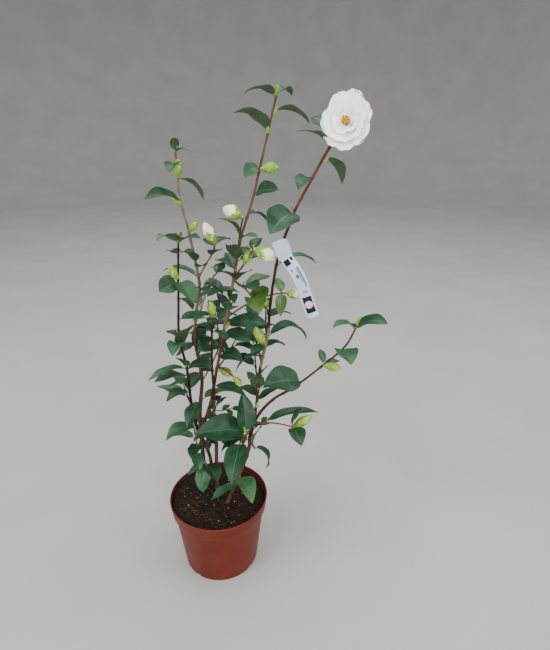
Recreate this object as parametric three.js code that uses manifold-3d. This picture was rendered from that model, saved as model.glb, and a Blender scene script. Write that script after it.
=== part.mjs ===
import * as THREE from 'three';
import { mergeVertices } from 'three/addons/utils/BufferGeometryUtils.js';
import Module from 'manifold-3d';

// A camellia grown as a shrub of five canes in a round nursery pot, in millimetres, +Z up.
// The origin is the centre of the flat underside of the pot. X runs to the right and Y away
// from the side that the plant is looked at from.

const wasm = await Module();
wasm.setup();

// Pot
const POT_HEIGHT = 153;
const RIM_RADIUS = 95;
const BASE_RADIUS = 73;
const WALL = 2;
const FLOOR = 3;
const COLLAR_HEIGHT = 25;
const COLLAR_STEP = 4.5;
const COLLAR_SLOPE = 3;
const LIP_ROUND = 1;
const FOOT_ROUND = 2.5;
const POT_SEGMENTS = 48;

// Drain slots cut through the lower edge of the pot
const DRAIN_SLOTS = 4;
const DRAIN_FIRST_HEADING = 56;
const DRAIN_WIDTH = 9;
const DRAIN_HEIGHT = 5;
const DRAIN_DEPTH = 10;

// Potting mix
const SOIL_LEVEL = 140;
const SOIL_BANK = 6;
const SOIL_BANK_HEADING = 150;
const SOIL_RELIEF = 2;
const SOIL_SEGMENTS = 24;
const SOIL_RINGS = 5;
const SOIL_SEED = 5;

// Gap between two pieces that meet, and the margin that a leaf keeps from other pieces
const GAP = 0.3;
const LEAF_MARGIN = 0.5;

// Leaves: shares of the length where the blade is measured, and the shape of its outline
const PETIOLE_SHARE = 0.1;
const BLADE_SHARES = [0.3, 0.7];
const LEAF_THICKNESS = 1.5;
const LEAF_TIP = 0.4;
const PETIOLE_WIDTH = 2.2;
const OUTLINE_SKEW = 0.78;
const OUTLINE_FULLNESS = 0.62;
const OUTLINE_TAPER = 0.6;
const OUTLINE_TAPER_POWER = 6;
const LEAF_FOLD = 18;
const LEAF_FOLD_SPREAD = 8;
const LEAF_ROLL_SPREAD = 8;

// Buds: blunt tip, slim foot, and widest a little before the middle
const BUD_BLUNTNESS = 0.12;
const BUD_FOOT_SHARE = 0.05;
const BUD_FULLNESS = 1.15;

// Sprouts on the far side: leaves set alternately left and right of a short twig that turns up.
// A spread is how far a value may differ either way from one sprout or leaf to the next.
const SPROUT_SHARES = [0.5, 0.78, 1];
const SPROUT_STEER_SPREAD = 12;
const SPROUT_RISE = 35;
const SPROUT_RISE_SPREAD = 10;
const SPROUT_UPTURN = 1.2;
const SPROUT_SPLAY = 55;
const SPROUT_SPLAY_SPREAD = 12;
const SPROUT_LEAF = 62;
const SPROUT_LEAF_SPREAD = 0.15;
const SPROUT_LEAF_SLIMNESS = 0.42;
const SPROUT_LEAF_RISE = 25;
const SPROUT_LEAF_RISE_SPREAD = 15;
const SPROUT_LEAF_BEND = 50;
const SPROUT_LEAF_BEND_SPREAD = 20;

// The open flower: each row of petals is one thin bowl whose edge dips between the petals
const PETAL_ROWS = [
  { count: 6, length: 43, lean: 70, curl: 24 },
  { count: 5, length: 34, lean: 46, curl: 14 },
  { count: 3, length: 27, lean: 20, curl: 4 },
];
const PETAL_FOOT = 0.15;
const PETAL_DIP = 0.15;
const PETAL_THICKNESS = 1.2;
const FLOWER_HEADING = 255;
const FLOWER_RISE = 14;
const FLOWER_HEART_RADIUS = 8;
const FLOWER_HEART_LENGTH = 20;

// Label: a folded head that the flower cane runs through, and a hanging strip. Each row of the
// head is a height along the cane and how far it reaches to the left and right of the cane.
const LABEL_SHEET = 0.9;
const LABEL_CANE_SHARE = 0.238;
const LABEL_HEAD = [[-19, 4, 4], [-10, 9, 15], [7, 17, 6], [18, 4, 4]];
const LABEL_STRIP_WIDTH = 20;
const LABEL_STRIP_STEPS = 8;
const LABEL_STRIP_ROUTE = [
  [127, -20, 637], [145, -22, 611], [156, -22, 586], [164.6, -21, 560], [173.7, -20, 536.5],
];

const UP = new THREE.Vector3(0, 0, 1);
const radians = THREE.MathUtils.degToRad;
const vector = ([x, y, z]) => new THREE.Vector3(x, y, z);

// The boughs: a route of points, the radius at its two ends and, on a cane that rises from the
// potting mix, a flare at its foot. A bough that forks from others is cut 0.3 mm clear of them.
const BOUGHS = {
  stem_left_centre: {
    route: [[-30, 31, 134], [-32, 32, 201], [-32, 31, 257], [-33, 30, 303]],
    radius: [4.6, 3.7],
    flare: 2.4,
  },
  stem_left: {
    route: [[-20, 40, 134], [-19, 44, 195], [-28, 48, 231], [-40, 41, 271]],
    radius: [3.6, 3],
    flare: 1.6,
  },
  stem_inner: {
    route: [[-8, 28, 134], [-4, 22, 228], [-2, 18, 276], [-3, 12, 323], [1, 6, 365]],
    radius: [4.2, 2.6],
    flare: 2,
  },
  stem_right: {
    route: [[15, -11, 134], [27, -6, 164], [41, 0, 198], [60, 8, 251], [64, 12, 280], [69, 14, 306]],
    radius: [3.6, 3.8],
    flare: 1,
  },
  stem_centre: {
    route: [[-31, 30, 284], [-24, 30, 303], [-16, 30, 322], [-7, 30, 352]],
    radius: [3.4, 3.1],
    forks_from: ['stem_left_centre'],
  },
  stem_flower: {
    route: [[68, 14, 300], [72, 14, 317], [75, 11, 339]],
    radius: [3, 2.8],
    forks_from: ['stem_right'],
  },
  stem_low_right: {
    route: [[68, 14, 302], [85, 16, 333], [111, 20, 359], [141, 24, 375.4]],
    radius: [2.8, 2.2],
    forks_from: ['stem_right', 'stem_flower'],
  },
};

// The masses of foliage. Each grows from one stem, which meets the tip of its bough or the side
// of a cane. A leaf is [share of the stem, heading, rise, length, width, bend, roll], angles in
// degrees: it sets off at its heading and rise, bends down along its length, and may be rolled
// about it. A bud is [share of the stem, heading, rise, length, width]. A sprout is [share of the
// stem, heading, length].
const MASSES = {
  foliage_left: {
    seed: 11,
    radius: [2.9, 1.5],
    route: [
      [-40, 41, 270], [-44, 32, 312], [-45, 20, 357], [-44, 4, 427], [-49, -4, 475],
      [-50, -10, 505], [-44, -19, 565], [-39, -26, 615], [-34, -33, 661],
    ],
    leaves: [
      [0.02, 215, 45, 72, 36, 90], [0.28, 235, 40, 60, 26, 60], [0.32, 145, -15, 60, 26, 20],
      [0.35, 230, 33, 74, 32, 40], [0.38, 245, 65, 44, 22, 30], [0.38, 325, 40, 66, 30, 40, -25],
      [0.38, 230, 32, 84, 20, 50], [0.51, 265, 50, 54, 30, 90], [0.51, 315, 70, 54, 34, 30],
      [0.59, 125, 5, 46, 22, 20], [0.68, 30, 8, 56, 18, 20, -20], [0.76, 70, -25, 56, 22, 30],
      [0.83, 222, -5, 36, 34, 20, 30], [0.83, 303, 0, 60, 32, 40], [0.95, 120, 10, 44, 20, 30],
      [1, 245, 55, 56, 24, 80], [1, 115, 15, 46, 24, 20], [1, 325, 40, 50, 20, 50],
    ],
    buds: [[0.84, 205, 60, 27, 14], [1, 0, 85, 18, 5]],
    sprouts: [[0.2, 116, 42]],
  },
  foliage_left_centre: {
    seed: 12,
    radius: [3.6, 1.5],
    route: [
      [-33, 30, 304], [-28, 28, 350], [-23, 26, 391], [-25, 26, 425], [-30, 26, 470], [-27, 26, 515],
      [-17, 27, 568], [-19, 29, 603], [-29, 32, 665], [-40, 36, 722], [-42, 38, 786],
    ],
    leaves: [
      [0.1, 250, -5, 62, 30, 40], [0.1, 45, 10, 96, 28, 50], [0.26, 60, -10, 50, 24, 30],
      [0.36, 80, 50, 60, 26, 20], [0.39, 165, -25, 50, 24, 20, 20], [0.6, 295, 35, 50, 24, 50],
      [0.66, 160, 40, 72, 20, 70], [0.72, 262, 50, 46, 20, 30], [0.74, 135, 15, 40, 20, 40],
      [0.88, 230, 40, 72, 26, 60, 30], [0.94, 40, -5, 62, 20, 70], [0.97, 265, 30, 44, 24, 80],
      [1, 280, 80, 28, 14, 60], [1, 340, 35, 30, 14, 70],
      [0.57, 35, 25, 44, 20, 30],
    ],
    buds: [[0.94, 0, 85, 29, 15], [0.87, 185, 45, 20, 9], [0.8, 0, 45, 22, 12]],
    twigs: [
      {
        route: [[-17, 27, 588], [-4, 20, 611], [9, 13, 632], [17, 6, 652]],
        leaves: [
          [0.32, 255, 30, 34, 20, 40], [0.62, 305, 40, 40, 22, 30], [0.88, 120, 25, 40, 22, 30],
          [0.95, 60, 30, 44, 18, 60],
        ],
        buds: [[0.97, 180, 65, 38, 18]],
      },
      {
        route: [[-18, 27, 563], [-6, 34, 574], [7, 42, 587], [15, 48, 594]],
        leaves: [[0.34, 315, 30, 48, 24, 80], [0.78, 70, 30, 34, 20, 20], [1, 110, 5, 36, 20, 20]],
      },
    ],
    sprouts: [[0.2, 74, 80], [0.34, 80, 80], [0.48, 75, 70]],
  },
  foliage_centre: {
    seed: 13,
    radius: [3, 2.1],
    route: [
      [-7, 30, 353], [3, 28, 405], [14, 25, 455], [28, 22, 525], [40, 19, 578], [49, 16, 622],
      [57, 13, 661],
    ],
    leaves: [
      [0.3, 315, 30, 66, 30, 40, -20], [0.36, 215, 20, 48, 32, 40, 25], [0.42, 325, 15, 60, 28, 40, -15],
      [0.45, 355, 22, 80, 32, 40, -25], [0.51, 70, 5, 40, 22, 20], [0.52, 205, 10, 34, 20, 30],
      [0.53, 120, 25, 46, 18, 10], [0.55, 270, 35, 40, 20, 60], [0.6, 258, 60, 36, 13, 60],
      [0.6, 285, 45, 44, 18, 90], [0.71, 240, 45, 52, 24, 40], [0.77, 115, 35, 50, 20, 30],
      [0.82, 255, 70, 52, 26, 50],
    ],
    buds: [[0.43, 0, 55, 19, 7]],
    twigs: [
      {
        route: [[3, 27, 417], [16, 14, 425], [30, 2, 421], [38, -2, 416]],
        buds: [[0.15, 350, -25, 30, 15], [1, 320, -30, 23, 12]],
      },
      {
        route: [[29, 22, 519], [61, 30, 539], [99, 38, 553], [133, 41, 557]],
        leaves: [[0.89, 100, 30, 46, 18, 20], [0.89, 268, -5, 56, 20, 40]],
        buds: [[0.97, 350, -5, 28, 16]],
      },
      {
        route: [[43, 18, 592], [55, 8, 609], [66, 0, 626], [78, -8, 646]],
        leaves: [[0.7, 105, 30, 42, 18, 30], [0.93, 70, 45, 40, 20, 50]],
        buds: [[1, 5, -25, 41, 22], [0.52, 0, 65, 26, 13]],
      },
      {
        route: [[52, 14, 640], [56, 6, 668], [62, -4, 695]],
        leaves: [[0.28, 315, 42, 48, 22, 60], [0.47, 220, 66, 50, 18, 60]],
        buds: [[0.99, 180, 25, 33, 22]],
      },
      {
        route: [[43, 18, 586], [61, 6, 577], [73, -2, 565], [88, -8, 550]],
        leaves: [
          [0.04, 320, 50, 48, 24, 30], [0.28, 295, 35, 60, 34, 50], [0.34, 40, 30, 58, 26, 40],
          [0.59, 20, -25, 56, 18, 60], [0.69, 285, 15, 50, 34, 60], [0.89, 80, 35, 48, 30, 30],
        ],
        buds: [[0.89, 0, 5, 20, 11]],
      },
    ],
    sprouts: [[0.2, 65, 70], [0.36, 105, 60], [0.66, 80, 60]],
  },
  foliage_centre_top: {
    seed: 14,
    radius: [2.1, 1.4],
    meets: ['foliage_centre'],
    route: [[57, 13, 661], [76, 9, 718], [89, 4, 768], [101, -2, 815], [113, -8, 863]],
    leaves: [
      [0.15, 45, 15, 44, 18, 70], [0.3, 325, 20, 46, 30, 20, -35], [0.48, 228, 25, 36, 22, 90, 40],
      [0.74, 215, 60, 66, 32, 70], [0.89, 15, 18, 60, 20, 68], [0.98, 218, 40, 58, 22, 75],
      [1, 55, 40, 42, 20, 80],
    ],
    buds: [[0.48, 10, 5, 30, 16], [0.99, 275, 55, 17, 6], [0.86, 20, 50, 15, 6], [0.73, 270, 75, 15, 6]],
  },
  foliage_inner: {
    seed: 15,
    radius: [2.5, 1.5],
    route: [[1, 6, 366], [1, -1, 425], [2, -4, 455], [6, -10, 510], [11, -14, 538]],
    leaves: [
      [0.12, 338, 16, 66, 26, 45], [0.58, 125, 22, 50, 24, 20], [0.73, 350, 0, 30, 17, 30],
      [0.73, 125, -10, 56, 24, 30], [0.83, 235, 60, 52, 24, 70], [0.8, 100, 10, 36, 18, 20],
    ],
    buds: [[0.96, 180, 80, 29, 14]],
  },
  foliage_right: {
    seed: 16,
    radius: [2.7, 2.3],
    route: [
      [75, 11, 340], [78, 8, 362], [83, 4, 419], [91, 0, 460], [99, -4, 500], [102, -8, 541],
      [107, -12, 586],
    ],
    leaves: [
      [0.16, 30, 32, 50, 16, 30], [0.19, 125, 10, 58, 30, 30], [0.23, 265, 90, 46, 26, 50],
      [0.3, 245, 55, 44, 26, 60], [0.31, 335, 65, 34, 20, 20], [0.46, 225, 45, 46, 20, 50],
      [0.51, 170, -10, 70, 24, 60], [0.56, 40, 15, 48, 24, 60], [0.56, 240, 25, 46, 24, 40],
      [0.63, 30, 45, 100, 24, 120], [0.66, 110, -15, 34, 18, 30],
    ],
    buds: [[0.56, 180, 65, 41, 17], [0.02, 315, 70, 18, 7]],
    sprouts: [[0.25, 95, 80], [0.42, 100, 80], [0.6, 100, 60]],
  },
  foliage_flower: {
    seed: 17,
    radius: [2.3, 1.8],
    meets: ['foliage_right'],
    route: [
      [107, -12, 586], [116, -18, 636], [139, -28, 705], [167, -40, 762], [188, -49, 801],
      [207, -52, 824],
    ],
    leaves: [
      [0.14, 35, 35, 88, 20, 80], [0.4, 240, 5, 74, 46, 40, 30], [0.56, 245, 35, 52, 26, 90],
      [0.69, 45, 5, 66, 22, 90], [0.79, 218, 38, 66, 18, 45], [0.86, 125, 35, 60, 34, 20, 20],
    ],
    buds: [[0.66, 0, 35, 13, 5]],
    flower: true,
  },
  foliage_low_right: {
    seed: 18,
    radius: [2.1, 1.6],
    route: [[142, 24, 376], [173, 27, 401], [198, 30, 422], [224, 32, 445], [240, 33, 464], [252, 34, 490]],
    leaves: [
      [0.06, 190, 20, 66, 24, 40], [0.12, 205, 23, 80, 54, 32, 35], [0.41, 95, 25, 44, 14, 20],
      [0.42, 30, 5, 36, 16, 20], [0.66, 280, 40, 62, 40, 80], [1, 215, 62, 62, 24, 90],
      [1, 315, 60, 76, 32, 70, -25],
    ],
    buds: [[0.4, 350, -5, 33, 16], [1, 35, 60, 27, 7], [0.02, 180, 15, 15, 6]],
  },
  foliage_low_spur: {
    seed: 19,
    radius: [1.6, 1.3],
    meets: ['stem_right', 'stem_flower', 'stem_low_right'],
    route: [[70, 15, 311], [87, 6, 314], [105, -4, 321], [125, -12, 323], [143, -16, 320]],
    leaves: [[0.3, 15, 32, 112, 24, 60], [0.96, 335, 75, 50, 24, 20, -30], [1, 287, 10, 48, 30, 40]],
    buds: [[1, 0, 35, 43, 17]],
  },
  foliage_front: {
    seed: 20,
    radius: [2.2, 1.6],
    meets: ['stem_right'],
    route: [[66, 11, 296], [56, -2, 292], [46, -12, 283]],
    leaves: [
      [0.4, 110, 85, 82, 36, 20], [0.2, 200, 25, 104, 56, 30, 28], [0.6, 220, 35, 44, 22, 20],
      [0.65, 100, -40, 36, 16, 40], [0.8, 170, -15, 56, 26, 50], [0.95, 264, 10, 96, 42, 40],
    ],
    buds: [[0.4, 180, 70, 23, 6]],
  },
  foliage_low_left: {
    seed: 21,
    radius: [1.6, 1.3],
    meets: ['stem_left_centre'],
    route: [[-33, 31, 262], [-38, 27, 248], [-44, 22, 236]],
    leaves: [[0.45, 255, 25, 40, 22, 40], [0.6, 260, 35, 44, 26, 60], [1, 290, -10, 38, 24, 50]],
    sprouts: [[0.7, 100, 40]],
  },
  foliage_low_centre: {
    seed: 22,
    radius: [1.8, 1.4],
    meets: ['stem_left_centre'],
    route: [[-31, 31, 210], [-26, 22, 208], [-18, 12, 204]],
    leaves: [[0.5, 265, -15, 58, 30, 70], [0.4, 195, -15, 44, 24, 40], [0.8, 300, 30, 52, 34, 60]],
  },
  foliage_right_curl: {
    seed: 23,
    radius: [1.6, 1.3],
    meets: ['stem_right'],
    route: [[63, 10, 272], [68, 2, 268], [74, -4, 262]],
    leaves: [[0.5, 330, 80, 56, 26, 30], [0.7, 0, -10, 64, 20, 110]],
  },
  foliage_foot: {
    seed: 24,
    radius: [1.7, 1.4],
    meets: ['stem_right'],
    route: [[42, 1, 199], [44, -14, 196], [46, -24, 190]],
    leaves: [[0.3, 292, 45, 80, 36, 90], [0.7, 210, 8, 64, 24, 40]],
  },
};
const TWIG_RADIUS = [1.6, 1.3];

// Finishes
const FINISHES = {
  pot: { color: 0x96462d, roughness: 0.5 },
  potting_mix: { color: 0x2c1f19, roughness: 1 },
  label: { color: 0xe9ecf2, roughness: 0.4 },
  bark: { color: 0x7a5a45, roughness: 0.8 },
  foliage: { color: 0x3f6b4a, roughness: 0.5 },
};

// Seeded random numbers from 0 to 1
function seededRandom(seed) {
  let state = seed;
  return () => {
    state = (state + 0x6d2b79f5) >>> 0;
    let bits = Math.imul(state ^ (state >>> 15), state | 1);
    bits = (bits ^ (bits + Math.imul(bits ^ (bits >>> 7), bits | 61))) >>> 0;
    return ((bits ^ (bits >>> 14)) >>> 0) / 2 ** 32;
  };
}

// A number spread evenly about zero
const spread = (random, width) => (2 * random() - 1) * width;

function solidFrom(vertices, faces) {
  const vertProperties = new Float32Array(vertices);
  const triVerts = new Uint32Array(faces);
  return new wasm.Manifold(new wasm.Mesh({ numProp: 3, vertProperties, triVerts }));
}

// A closed skin over a row of rings with the same number of corners, with flat ends. The corners
// run anticlockwise when the row comes towards the eye.
function loft(rings) {
  const sides = rings[0].length;
  const vertices = rings.flat().flatMap((corner) => corner.toArray());
  const faces = [];
  const last = (rings.length - 1) * sides;
  for (let start = 0; start < last; start += sides) {
    for (let side = 0; side < sides; side += 1) {
      const a = start + side;
      const b = start + (side + 1) % sides;
      faces.push(a, b, b + sides, a, b + sides, a + sides);
    }
  }
  for (let side = 1; side < sides - 1; side += 1) {
    faces.push(0, side + 1, side, last, last + side, last + side + 1);
  }
  return solidFrom(vertices, faces);
}

// A level ring round the Z axis, whose height may change with the heading
function levelRing(radius, segments, heightAt) {
  return Array.from({ length: segments }, (_, k) => {
    const angle = (2 * Math.PI * k) / segments;
    return new THREE.Vector3(radius * Math.cos(angle), radius * Math.sin(angle), heightAt(k));
  });
}

function curveThrough(route) {
  return new THREE.CatmullRomCurve3(route.map(vector), false, 'catmullrom', 0.5);
}

// A round limb along a curve. grow makes it thicker all over, and longer at both ends.
function limb(curve, radiusAt, { sides = 5, step = 32, grow = 0 } = {}) {
  const steps = Math.max(2, Math.round(curve.getLength() / step));
  const { normals, binormals, tangents } = curve.computeFrenetFrames(steps, false);
  const rings = curve.getSpacedPoints(steps).map((centre, k) => {
    const reach = k === 0 ? -grow : (k === steps ? grow : 0);
    const radius = radiusAt(k / steps, curve) + grow;
    return Array.from({ length: sides }, (_, side) => {
      const angle = (2 * Math.PI * side) / sides;
      return centre.clone()
        .addScaledVector(tangents[k], reach)
        .addScaledVector(normals[k], radius * Math.cos(angle))
        .addScaledVector(binormals[k], radius * Math.sin(angle));
    });
  });
  return loft(rings);
}

const taper = ([foot, tip], flare = 0, flareLength = 14) => (share, curve) => {
  const fromFoot = share * curve.getLength();
  return THREE.MathUtils.lerp(foot, tip, share) + flare * Math.exp(-fromFoot / flareLength);
};

// How wide a leaf is at a share of its blade, against its widest place
function outline(share) {
  const swell = Math.sin(Math.PI * share ** OUTLINE_SKEW) ** OUTLINE_FULLNESS;
  return swell * (1 - OUTLINE_TAPER * share ** OUTLINE_TAPER_POWER);
}

// A point of a midline that sets off along X at a rise and bends down evenly, with the
// directions to its side and its upper face there
function midline(share, rise, length, bend) {
  const turn = Math.abs(bend) < 1 ? radians(1) : radians(bend);
  const first = radians(rise);
  const here = first - turn * share;
  const out = (length * (Math.sin(first) - Math.sin(here))) / turn;
  const up = (length * (Math.cos(here) - Math.cos(first))) / turn;
  return {
    point: new THREE.Vector3(out, 0, up),
    side: new THREE.Vector3(0, -1, 0),
    face: new THREE.Vector3(-Math.sin(here), 0, Math.cos(here)),
  };
}

// A leaf: from inside the stem it widens to a blade with a flat top and a ridge underneath
function leafSolid(base, leaf, grow = 0) {
  const [heading, rise, length, width, bend, ownRoll = 0] = leaf.shape;
  const place = new THREE.Matrix4().makeRotationZ(radians(heading)).setPosition(base);
  const stations = [
    { share: 0, half: PETIOLE_WIDTH / 2, depth: PETIOLE_WIDTH / 2, fold: 2 * LEAF_FOLD },
    ...BLADE_SHARES.map((share) => ({
      share: PETIOLE_SHARE + (1 - PETIOLE_SHARE) * share,
      half: (outline(share) * width) / 2,
      depth: LEAF_THICKNESS / 2,
      fold: leaf.fold,
    })),
    { share: 1, half: LEAF_TIP, depth: LEAF_TIP, fold: LEAF_FOLD },
  ];
  const rings = stations.map((station) => {
    const { point, side, face } = midline(station.share, rise, length, bend);
    const roll = radians(leaf.roll + ownRoll);
    const across = side.clone().multiplyScalar(Math.cos(roll)).addScaledVector(face, Math.sin(roll));
    const upward = face.clone().multiplyScalar(Math.cos(roll)).addScaledVector(side, -Math.sin(roll));
    const half = station.half + grow;
    const lift = half * Math.tan(radians(station.fold));
    const corner = (sideways, high) => point.clone()
      .addScaledVector(across, sideways)
      .addScaledVector(upward, high)
      .applyMatrix4(place);
    return [corner(half, lift + grow), corner(0, -station.depth - grow), corner(-half, lift + grow)];
  });
  return loft(rings);
}

// A plump bud with a pointed tip
function budSolid(base, [heading, rise, length, width]) {
  const direction = new THREE.Vector3(
    Math.cos(radians(rise)) * Math.cos(radians(heading)),
    Math.cos(radians(rise)) * Math.sin(radians(heading)),
    Math.sin(radians(rise)),
  );
  const tip = base.clone().addScaledVector(direction, length);
  const profile = (share) => {
    const fullness = Math.sin(Math.PI * Math.max(share, BUD_FOOT_SHARE) ** BUD_FULLNESS);
    return (width / 2) * Math.max(BUD_BLUNTNESS, fullness);
  };
  return limb(new THREE.LineCurve3(base, tip), profile, { sides: 5, step: length / 3 });
}

// A row of petals: a bowl round the flower's axis with two high corners and a dip for each petal
function petalBowl({ count, length, lean, curl }, rowIndex) {
  const segments = 3 * count;
  const ring = (share, high) => Array.from({ length: segments }, (_, k) => {
    const dip = k % 3 === 0 ? PETAL_DIP * share : 0;
    const { point, face } = midline(share - dip, 90 - lean, length, -curl);
    const angle = (2 * Math.PI * (k + 1.5 * rowIndex)) / segments;
    return point.addScaledVector(face, high).applyAxisAngle(UP, angle);
  });
  const shares = [PETAL_FOOT, 0.6, 1];
  const outside = shares.map((share) => ring(share, -PETAL_THICKNESS / 2));
  const inside = shares.toReversed().map((share) => ring(share, PETAL_THICKNESS / 2));
  return [...outside, ...inside];
}

// The open flower: rows of petals round a heart, facing along its axis
function flowerSolid(base) {
  const axis = new THREE.Vector3(
    Math.cos(radians(FLOWER_RISE)) * Math.cos(radians(FLOWER_HEADING)),
    Math.cos(radians(FLOWER_RISE)) * Math.sin(radians(FLOWER_HEADING)),
    Math.sin(radians(FLOWER_RISE)),
  );
  const turn = new THREE.Quaternion().setFromUnitVectors(UP, axis);
  const heartTip = base.clone().addScaledVector(axis, FLOWER_HEART_LENGTH);
  const heartRadius = (share) => FLOWER_HEART_RADIUS * (0.5 + 0.5 * Math.sin(Math.PI * share));
  let flower = limb(new THREE.LineCurve3(base, heartTip), heartRadius, { sides: 8, step: 5 });
  PETAL_ROWS.forEach((row, rowIndex) => {
    const rings = petalBowl(row, rowIndex)
      .map((ring) => ring.map((corner) => corner.applyQuaternion(turn).add(base)));
    flower = flower.add(loft(rings));
  });
  return flower;
}

// The largest closed skin of a solid: a loose scrap and the skin of a sealed hollow are dropped
function largestSkin(solid) {
  const mesh = solid.getMesh();
  const parent = Array.from({ length: mesh.vertProperties.length / mesh.numProp }, (_, k) => k);
  const root = (k) => {
    let at = k;
    while (parent[at] !== at) {
      parent[at] = parent[parent[at]];
      at = parent[at];
    }
    return at;
  };
  for (let t = 0; t < mesh.triVerts.length; t += 3) {
    parent[root(mesh.triVerts[t + 1])] = root(mesh.triVerts[t]);
    parent[root(mesh.triVerts[t + 2])] = root(mesh.triVerts[t]);
  }
  const faces = new Map();
  for (let t = 0; t < mesh.triVerts.length; t += 3) {
    const skin = root(mesh.triVerts[t]);
    if (!faces.has(skin)) faces.set(skin, []);
    faces.get(skin).push(...mesh.triVerts.subarray(t, t + 3));
  }
  const largest = [...faces.values()].reduce((a, b) => (b.length > a.length ? b : a));
  return solidFrom(mesh.vertProperties, largest);
}

const overlaps = (a, b) => a.intersect(b).getMesh().triVerts.length > 0;

// Pot: a turned shell with a stepped collar, a rounded lip and slots for drainage
const collarFoot = POT_HEIGHT - COLLAR_HEIGHT;
const bodyTop = RIM_RADIUS - COLLAR_STEP - COLLAR_SLOPE;
const outsideProfile = [
  [BASE_RADIUS - FOOT_ROUND, 0],
  [BASE_RADIUS, FOOT_ROUND],
  [bodyTop, collarFoot - 1],
  [bodyTop + COLLAR_STEP, collarFoot],
  [RIM_RADIUS, POT_HEIGHT - LIP_ROUND],
  [RIM_RADIUS - LIP_ROUND / 2, POT_HEIGHT],
];
const insideProfile = [
  [BASE_RADIUS - WALL, FLOOR],
  [bodyTop - WALL, collarFoot - 1 + WALL],
  [bodyTop + COLLAR_STEP - WALL, collarFoot + WALL],
  [RIM_RADIUS - WALL, POT_HEIGHT - LIP_ROUND],
];

function potSolid() {
  const rings = [...outsideProfile, ...insideProfile.toReversed()]
    .map(([radius, height]) => levelRing(radius, POT_SEGMENTS, () => height));
  let pot = loft(rings);
  for (let k = 0; k < DRAIN_SLOTS; k += 1) {
    const heading = radians(DRAIN_FIRST_HEADING + (360 * k) / DRAIN_SLOTS);
    const slot = new THREE.BoxGeometry(2 * DRAIN_DEPTH, DRAIN_WIDTH, 2 * DRAIN_HEIGHT);
    slot.translate(BASE_RADIUS, 0, 0);
    slot.rotateZ(heading);
    pot = pot.subtract(solidFromGeometry(slot));
  }
  return pot;
}

function solidFromGeometry(geometry) {
  geometry.deleteAttribute('normal');
  geometry.deleteAttribute('uv');
  const merged = mergeVertices(geometry);
  return solidFrom(merged.attributes.position.array, merged.index.array);
}

// Potting mix: fills the pot, banked up to one side, with a slightly uneven top
function pottingMixSolid() {
  const random = seededRandom(SOIL_SEED);
  const [floor, shoulder, step] = insideProfile;
  const collarSlope = (RIM_RADIUS - WALL - step[0]) / (POT_HEIGHT - LIP_ROUND - step[1]);
  const lowestEdge = SOIL_LEVEL - SOIL_RELIEF - SOIL_BANK;
  const topRadius = step[0] + collarSlope * (lowestEdge - step[1]) - GAP;
  const levelAt = (share, k) => {
    const angle = (2 * Math.PI * k) / SOIL_SEGMENTS - radians(SOIL_BANK_HEADING);
    return SOIL_LEVEL + SOIL_BANK * share * Math.cos(angle);
  };
  const rings = [
    levelRing(floor[0] - GAP, SOIL_SEGMENTS, () => floor[1] + GAP),
    levelRing(shoulder[0] - GAP, SOIL_SEGMENTS, () => shoulder[1]),
    levelRing(step[0] - GAP, SOIL_SEGMENTS, () => step[1] + GAP),
    levelRing(topRadius, SOIL_SEGMENTS, (k) => levelAt(1, k) - SOIL_RELIEF),
  ];
  for (let k = 1; k < SOIL_RINGS; k += 1) {
    const share = 1 - k / SOIL_RINGS;
    const height = (corner) => levelAt(share, corner) + spread(random, SOIL_RELIEF / 2);
    rings.push(levelRing(topRadius * share, SOIL_SEGMENTS, height));
  }
  return loft(rings);
}

// The head of the label: a flattened loop round the cane, drawn out to a diamond
function labelHeadSolid(caneCurve, caneRadius) {
  const centre = caneCurve.getPoint(LABEL_CANE_SHARE);
  const along = caneCurve.getTangent(LABEL_CANE_SHARE);
  const front = new THREE.Vector3(0, -1, 0).addScaledVector(along, along.y).normalize();
  const side = new THREE.Vector3().crossVectors(front, along).negate();
  const inner = caneRadius + GAP;
  const loopRing = (height, left, right, half) => {
    const corner = (sideways, forward) => centre.clone()
      .addScaledVector(along, height)
      .addScaledVector(side, sideways)
      .addScaledVector(front, forward);
    return [
      corner(right, 0), corner(inner, -half), corner(-inner, -half),
      corner(-left, 0), corner(-inner, half), corner(inner, half),
    ];
  };
  const last = LABEL_HEAD.length - 1;
  const outer = loft(LABEL_HEAD.map(([height, left, right]) =>
    loopRing(height, left + LABEL_SHEET, right + LABEL_SHEET, inner + LABEL_SHEET)));
  const bore = loft(LABEL_HEAD.map(([height, left, right], k) =>
    loopRing(height + (k === last) - (k === 0), left, right, inner)));
  return outer.subtract(bore);
}

// The strip of the label, which hangs from the head
function labelStripSolid() {
  const curve = curveThrough(LABEL_STRIP_ROUTE);
  const rings = curve.getSpacedPoints(LABEL_STRIP_STEPS).map((centre, k) => {
    const along = curve.getTangentAt(k / LABEL_STRIP_STEPS);
    const across = new THREE.Vector3(0, 1, 0).cross(along).normalize();
    const thick = new THREE.Vector3().crossVectors(across, along).negate();
    const corner = (sideways, high) => centre.clone()
      .addScaledVector(across, (sideways * LABEL_STRIP_WIDTH) / 2)
      .addScaledVector(thick, (high * LABEL_SHEET) / 2);
    return [corner(1, -1), corner(1, 1), corner(-1, 1), corner(-1, -1)];
  });
  return loft(rings);
}

// Pieces that are finished, by name
const solids = new Map();
solids.set('pot', potSolid());

// A solid less the space that the pieces it meets need
function cutClear(solid, names, grown) {
  return names.reduce((rest, name) => rest.subtract(grown.get(name)), solid);
}

// Boughs, and the same boughs grown by the gap
const grownStems = new Map();
for (const [name, { route, radius, flare = 0, forks_from = [] }] of Object.entries(BOUGHS)) {
  const curve = curveThrough(route);
  const radiusAt = taper(radius, flare);
  solids.set(name, largestSkin(cutClear(limb(curve, radiusAt, { sides: 8 }), forks_from, grownStems)));
  grownStems.set(name, limb(curve, radiusAt, { sides: 8, grow: GAP }));
}

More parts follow.
